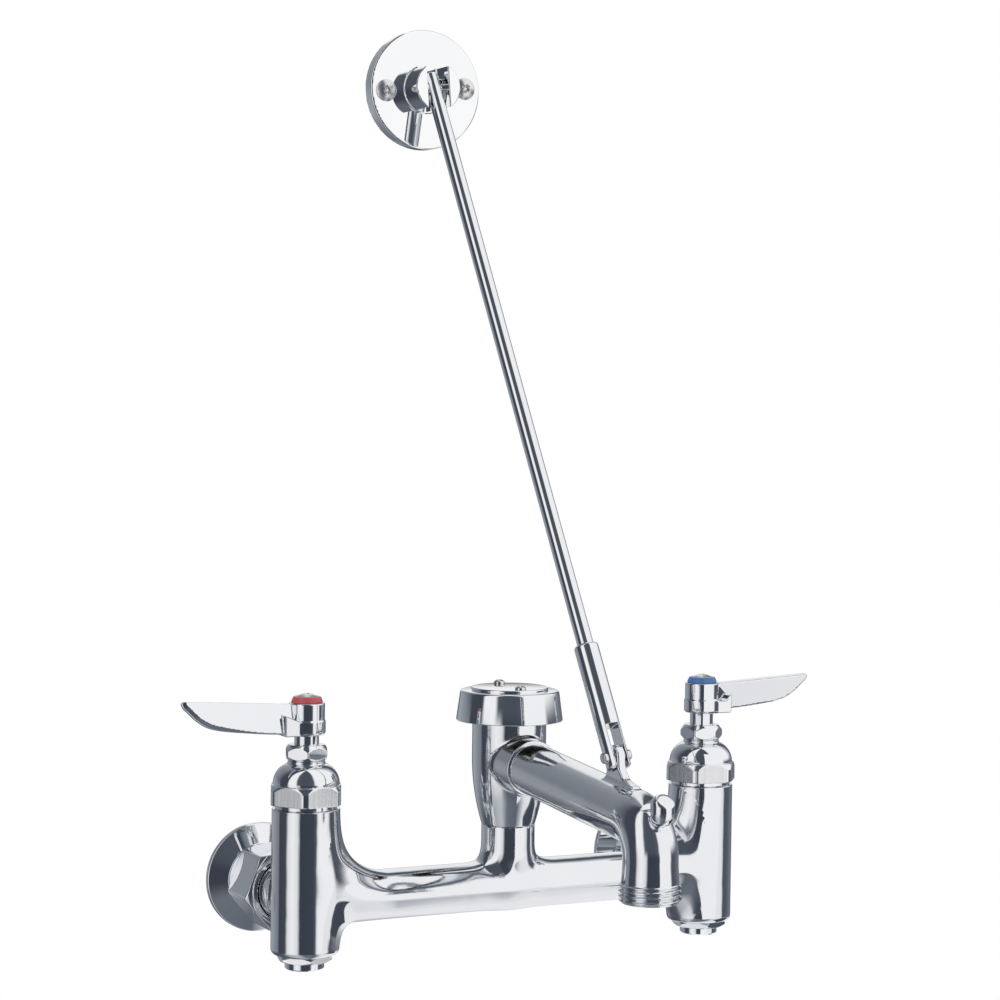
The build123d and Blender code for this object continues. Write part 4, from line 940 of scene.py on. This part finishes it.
def addBrace():
    b = brace
    across = gridLines((-5.8, 5.8, 0.36))
    up = gridLines((-6.0, -4.4, 0.3), (-4.4, 12, 0.8), (12, 15, 0.36), (15, 46, 1.6), (46, 51.4, 0.36))
    net = netOf(clevisShape, across, across, up)
    addPiece("clevisTurned", net, "brace_fork", "brace_clevis", place=braceTurn)
    across = gridLines((-4.0, 4.0, 0.36))
    end = braceLength + b["rodTip"]
    up = gridLines((23.6, 26, 0.8), (26, end - 17, 3.0), (end - 17, end - 3, 0.5),
                   (end - 3, end + 0.4, 0.3))
    addPiece("rodDrawn", netOf(rodShape, across, across, up), "brace_bar", "brace_rod", place=braceTurn)
    across = gridLines((-28.8, 28.8, 0.7))
    up = gridLines((-0.4, 0.8, 0.4), (0.8, 5.4, 1.0), (5.4, 8.8, 0.34), (8.8, 20.0, 0.8),
                   (20.0, 22.2, 0.34))
    addPiece("wallPlateTurned", netOf(plateShape, across, across, up), "brace_anchor", "wall_plate",
             finish=plateChrome, place=plateTurn)
    addPin("clevisPinRounded", b["pin"], b["clevisRadius"] + b["pinOut"], b["pinRound"], "brace_fork",
           braceTurn, "clevis_pin")
    halfChord = math.sqrt(b["stub"] ** 2 - b["stubPin"] ** 2)
    addPin("stubPinTurned", b["stubPin"], halfChord, 0.3, "brace_anchor",
           braceTurn @ upAxis(0, 0, braceLength), "stub_pin")
    across = gridLines((-5.7, 5.7, 0.24))
    up = gridLines((-b["screwLength"] - 0.5, -0.4, 0.9), (-0.4, 2.7, 0.2))
    net = netOf(wallScrewShape, across, across, up)
    for i, step in enumerate((-0.5, 0.5)):
        place = plateTurn @ upAxis(step * b["screwSpacing"], 0, b["plateThick"], 25 + 30 * i)
        addPiece(f"wallScrew.{i}", net, "brace_anchor", "wall_screws",
                 finish=paleSteel, slot="steel", place=place)


addBrace()
print("brace built")


# studio: white ground, and what the chrome picks up all round it
studio = {
    "floorHeight": -0.45, "floorRadius": 1.7, "floorGlow": 0.40, "floorTone": 0.8, "daylight": 0.75,
    # azimuth in degrees right of the camera, and how bright the room is there
    "highRing": [
        (-180, 0.95), (-168, 0.9), (-160, 0.40), (-141, 0.30), (-119, 0.24), (-95, 0.08), (-66, 0.07),
        (-60, 1.0), (-36, 1.0), (-28, 0.12), (-12, 0.10), (10, 0.10), (30, 0.12), (38, 1.0), (122, 1.0),
        (137, 0.5), (150, 0.1), (162, 0.12), (170, 0.9), (180, 0.95),
    ],
    "levelRing": [
        (-180, 0.10), (-160, 0.14), (-150, 0.42), (-125, 0.34), (-112, 0.29), (-100, 0.25), (-93, 0.07),
        (-67, 0.08), (-59, 0.85), (-42, 1.0), (-23, 0.85), (-15, 0.06), (28, 0.07), (38, 0.11),
        (44, 0.95), (84, 0.9), (92, 0.10), (118, 0.13), (137, 0.22), (160, 0.16), (180, 0.10),
    ],
    "lowRing": [
        (-180, 0.5), (-162, 0.2), (-120, 0.10), (-75, 0.12), (-58, 0.45), (-25, 0.6), (-5, 0.2),
        (32, 0.16), (46, 0.55), (56, 0.85), (80, 0.95), (150, 0.95), (170, 0.9), (180, 0.6),
    ],
    # upward share of the ray's direction at which one ring gives way to the next
    "highFrom": (-0.06, 0.18), "lowFrom": (-0.20, -0.48), "wander": 0.030, "wanderScale": 1.6,
    # white panel close by on the right: left edge, right edge, how far in front, bottom, top
    "panel": {"left": 0.165, "right": 2.4, "front": 0.30, "low": -0.12, "high": 0.42},
    # dark card lying below on the right, seen only in reflections: a painted dark reflection that lines the
    # lower edge of the cold lever's blade
    "edgeLineCard": {"left": 0.22, "right": 0.60, "front": -0.35, "back": 0.05, "height": -0.20, "tone": 0.08},
}
cameraAzimuth = math.atan2(camera["place"][1], camera["place"][0])


def toneColour(v):  # greys lean to slate blue as they darken
    return (v ** 1.12, v ** 1.05, v ** 0.95, 1)


def addRing(tree, name, spots, share):
    ring = addNode(tree, "ShaderNodeValToRGB", {"Fac": share}, label=name)
    stops = ring.color_ramp.elements
    for i, (azimuth, tone) in enumerate(spots):
        spot = (azimuth + 180) / 360
        stop = stops[i] if i < 2 else stops.new(spot)
        stop.position = spot
        stop.color = toneColour(tone)
    return ring.outputs["Color"]


def shareOf(tree, value, start, end, **settings):  # 0 at start, 1 at end
    inputs = {"Value": value, "From Min": start, "From Max": end}
    return addNode(tree, "ShaderNodeMapRange", inputs, **settings).outputs["Result"]


def roomGroup():  # what stands round the object in a direction: dark cloths and white screens
    group, given = newGroup("roomTone", {"Direction": "Vector"}, {"Colour": "Color"})
    unit = addNode(group, "ShaderNodeVectorMath", {0: given["Direction"]}, operation="NORMALIZE").outputs[0]
    inputs = {"Vector": unit, "Angle": -cameraAzimuth}
    turned = addNode(group, "ShaderNodeVectorRotate", inputs, rotation_type="Z_AXIS").outputs["Vector"]
    parts = addNode(group, "ShaderNodeSeparateXYZ", {"Vector": turned}).outputs
    share = shareOf(group, addMath(group, "ARCTAN2", parts["Y"], parts["X"]), -math.pi, math.pi)
    noise = addMath(group, "SUBTRACT", addNoise(group, Vector=unit, Scale=studio["wanderScale"]), 0.5)
    share = addMath(group, "MULTIPLY_ADD", noise, studio["wander"], share)
    room = addRing(group, "level", studio["levelRing"], share)
    for name in ("high", "low"):
        ring = addRing(group, name, studio[name + "Ring"], share)
        gate = shareOf(group, parts["Z"], *studio[name + "From"], interpolation_type="SMOOTHSTEP")
        room = mixColours(group, gate, room, ring)
    addNode(group, "NodeGroupOutput", {"Colour": room})
    return group


roomTone = roomGroup()
white = (1.0, 1.0, 1.0, 1.0)


def eitherRay(tree, *names):  # 1 for each of the named kinds of ray
    seen = addNode(tree, "ShaderNodeLightPath").outputs
    ray = seen[names[0]]
    for name in names[1:]:
        ray = addMath(tree, "MAXIMUM", ray, seen[name])
    return ray


def roomColour(tree, coordinate):
    spot = addNode(tree, "ShaderNodeTexCoord").outputs[coordinate]
    return addNode(tree, "ShaderNodeGroup", {"Direction": spot}, node_tree=roomTone).outputs["Colour"]


def grey(tone):
    return (tone, tone, tone, 1.0)


def addWorld():
    world = bpy.data.worlds.new("studioWorld")
    scene.world = world
    world.use_nodes = True
    tree = world.node_tree
    room = roomColour(tree, "Generated")
    light = mixColours(tree, eitherRay(tree, "Is Glossy Ray"), grey(studio["daylight"]), room)
    plain = mixColours(tree, eitherRay(tree, "Is Camera Ray", "Is Transmission Ray"), light, white)
    feed(tree.nodes["Background"], {"Color": plain})


def stageMesh(name, verts, faces):
    mesh = bpy.data.meshes.new(name)
    mesh.from_pydata(verts, [], faces)
    obj = bpy.data.objects.new(name, mesh)
    scene.collection.objects.link(obj)
    mat, tree, shader = newMaterial(name)
    mesh.materials.append(mat)
    return obj, tree, shader


def addCard(name, corners, tone):  # seen only in reflections
    card, tree, shader = stageMesh(name, corners, [(0, 1, 2, 3)])
    feed(shader, {"Base Color": (0, 0, 0, 1), "Specular IOR Level": 0.0,
                  "Emission Color": toneColour(tone), "Emission Strength": 1.0})
    card.visible_camera = False
    card.visible_diffuse = False
    card.visible_shadow = False


def addCards():
    p, c = studio["panel"], studio["edgeLineCard"]
    toward = Vector((math.cos(cameraAzimuth), math.sin(cameraAzimuth), 0))
    right = Vector((-toward.y, toward.x, 0))
    corners = []
    for side, height in (("left", "low"), ("right", "low"), ("right", "high"), ("left", "high")):
        corners.append(toward * p["front"] + right * p[side] + Vector((0, 0, p[height])))
    addCard("lightPanel", corners, 1.0)
    spots = (("left", "front"), ("right", "front"), ("right", "back"), ("left", "back"))
    # dark card seen only in reflections, painting a dark reflected line along the cold lever blade's lower
    # edge
    addCard("paintedDarkReflectionCard", [(c[x], c[y], c["height"]) for x, y in spots], c["tone"])


def addFloor():
    z, radius = studio["floorHeight"], studio["floorRadius"]
    rim = [(radius * math.cos(a / 48 * math.pi), radius * math.sin(a / 48 * math.pi), z) for a in range(96)]
    tree, shader = stageMesh("floor", rim, [tuple(range(96))])[1:]
    paint = mixColours(tree, eitherRay(tree, "Is Glossy Ray"), white, roomColour(tree, "Object"))
    seen = eitherRay(tree, "Is Camera Ray", "Is Glossy Ray", "Is Transmission Ray")
    feed(shader, {
        "Roughness": 0.9, "Specular IOR Level": 0.0, "Emission Color": paint,
        "Emission Strength": addMath(tree, "MULTIPLY", seen, studio["floorGlow"]),
        "Base Color": mixColours(tree, 1.0, paint, grey(studio["floorTone"]), "MULTIPLY"),
    })


addWorld()
addCards()
addFloor()
print("studio set")
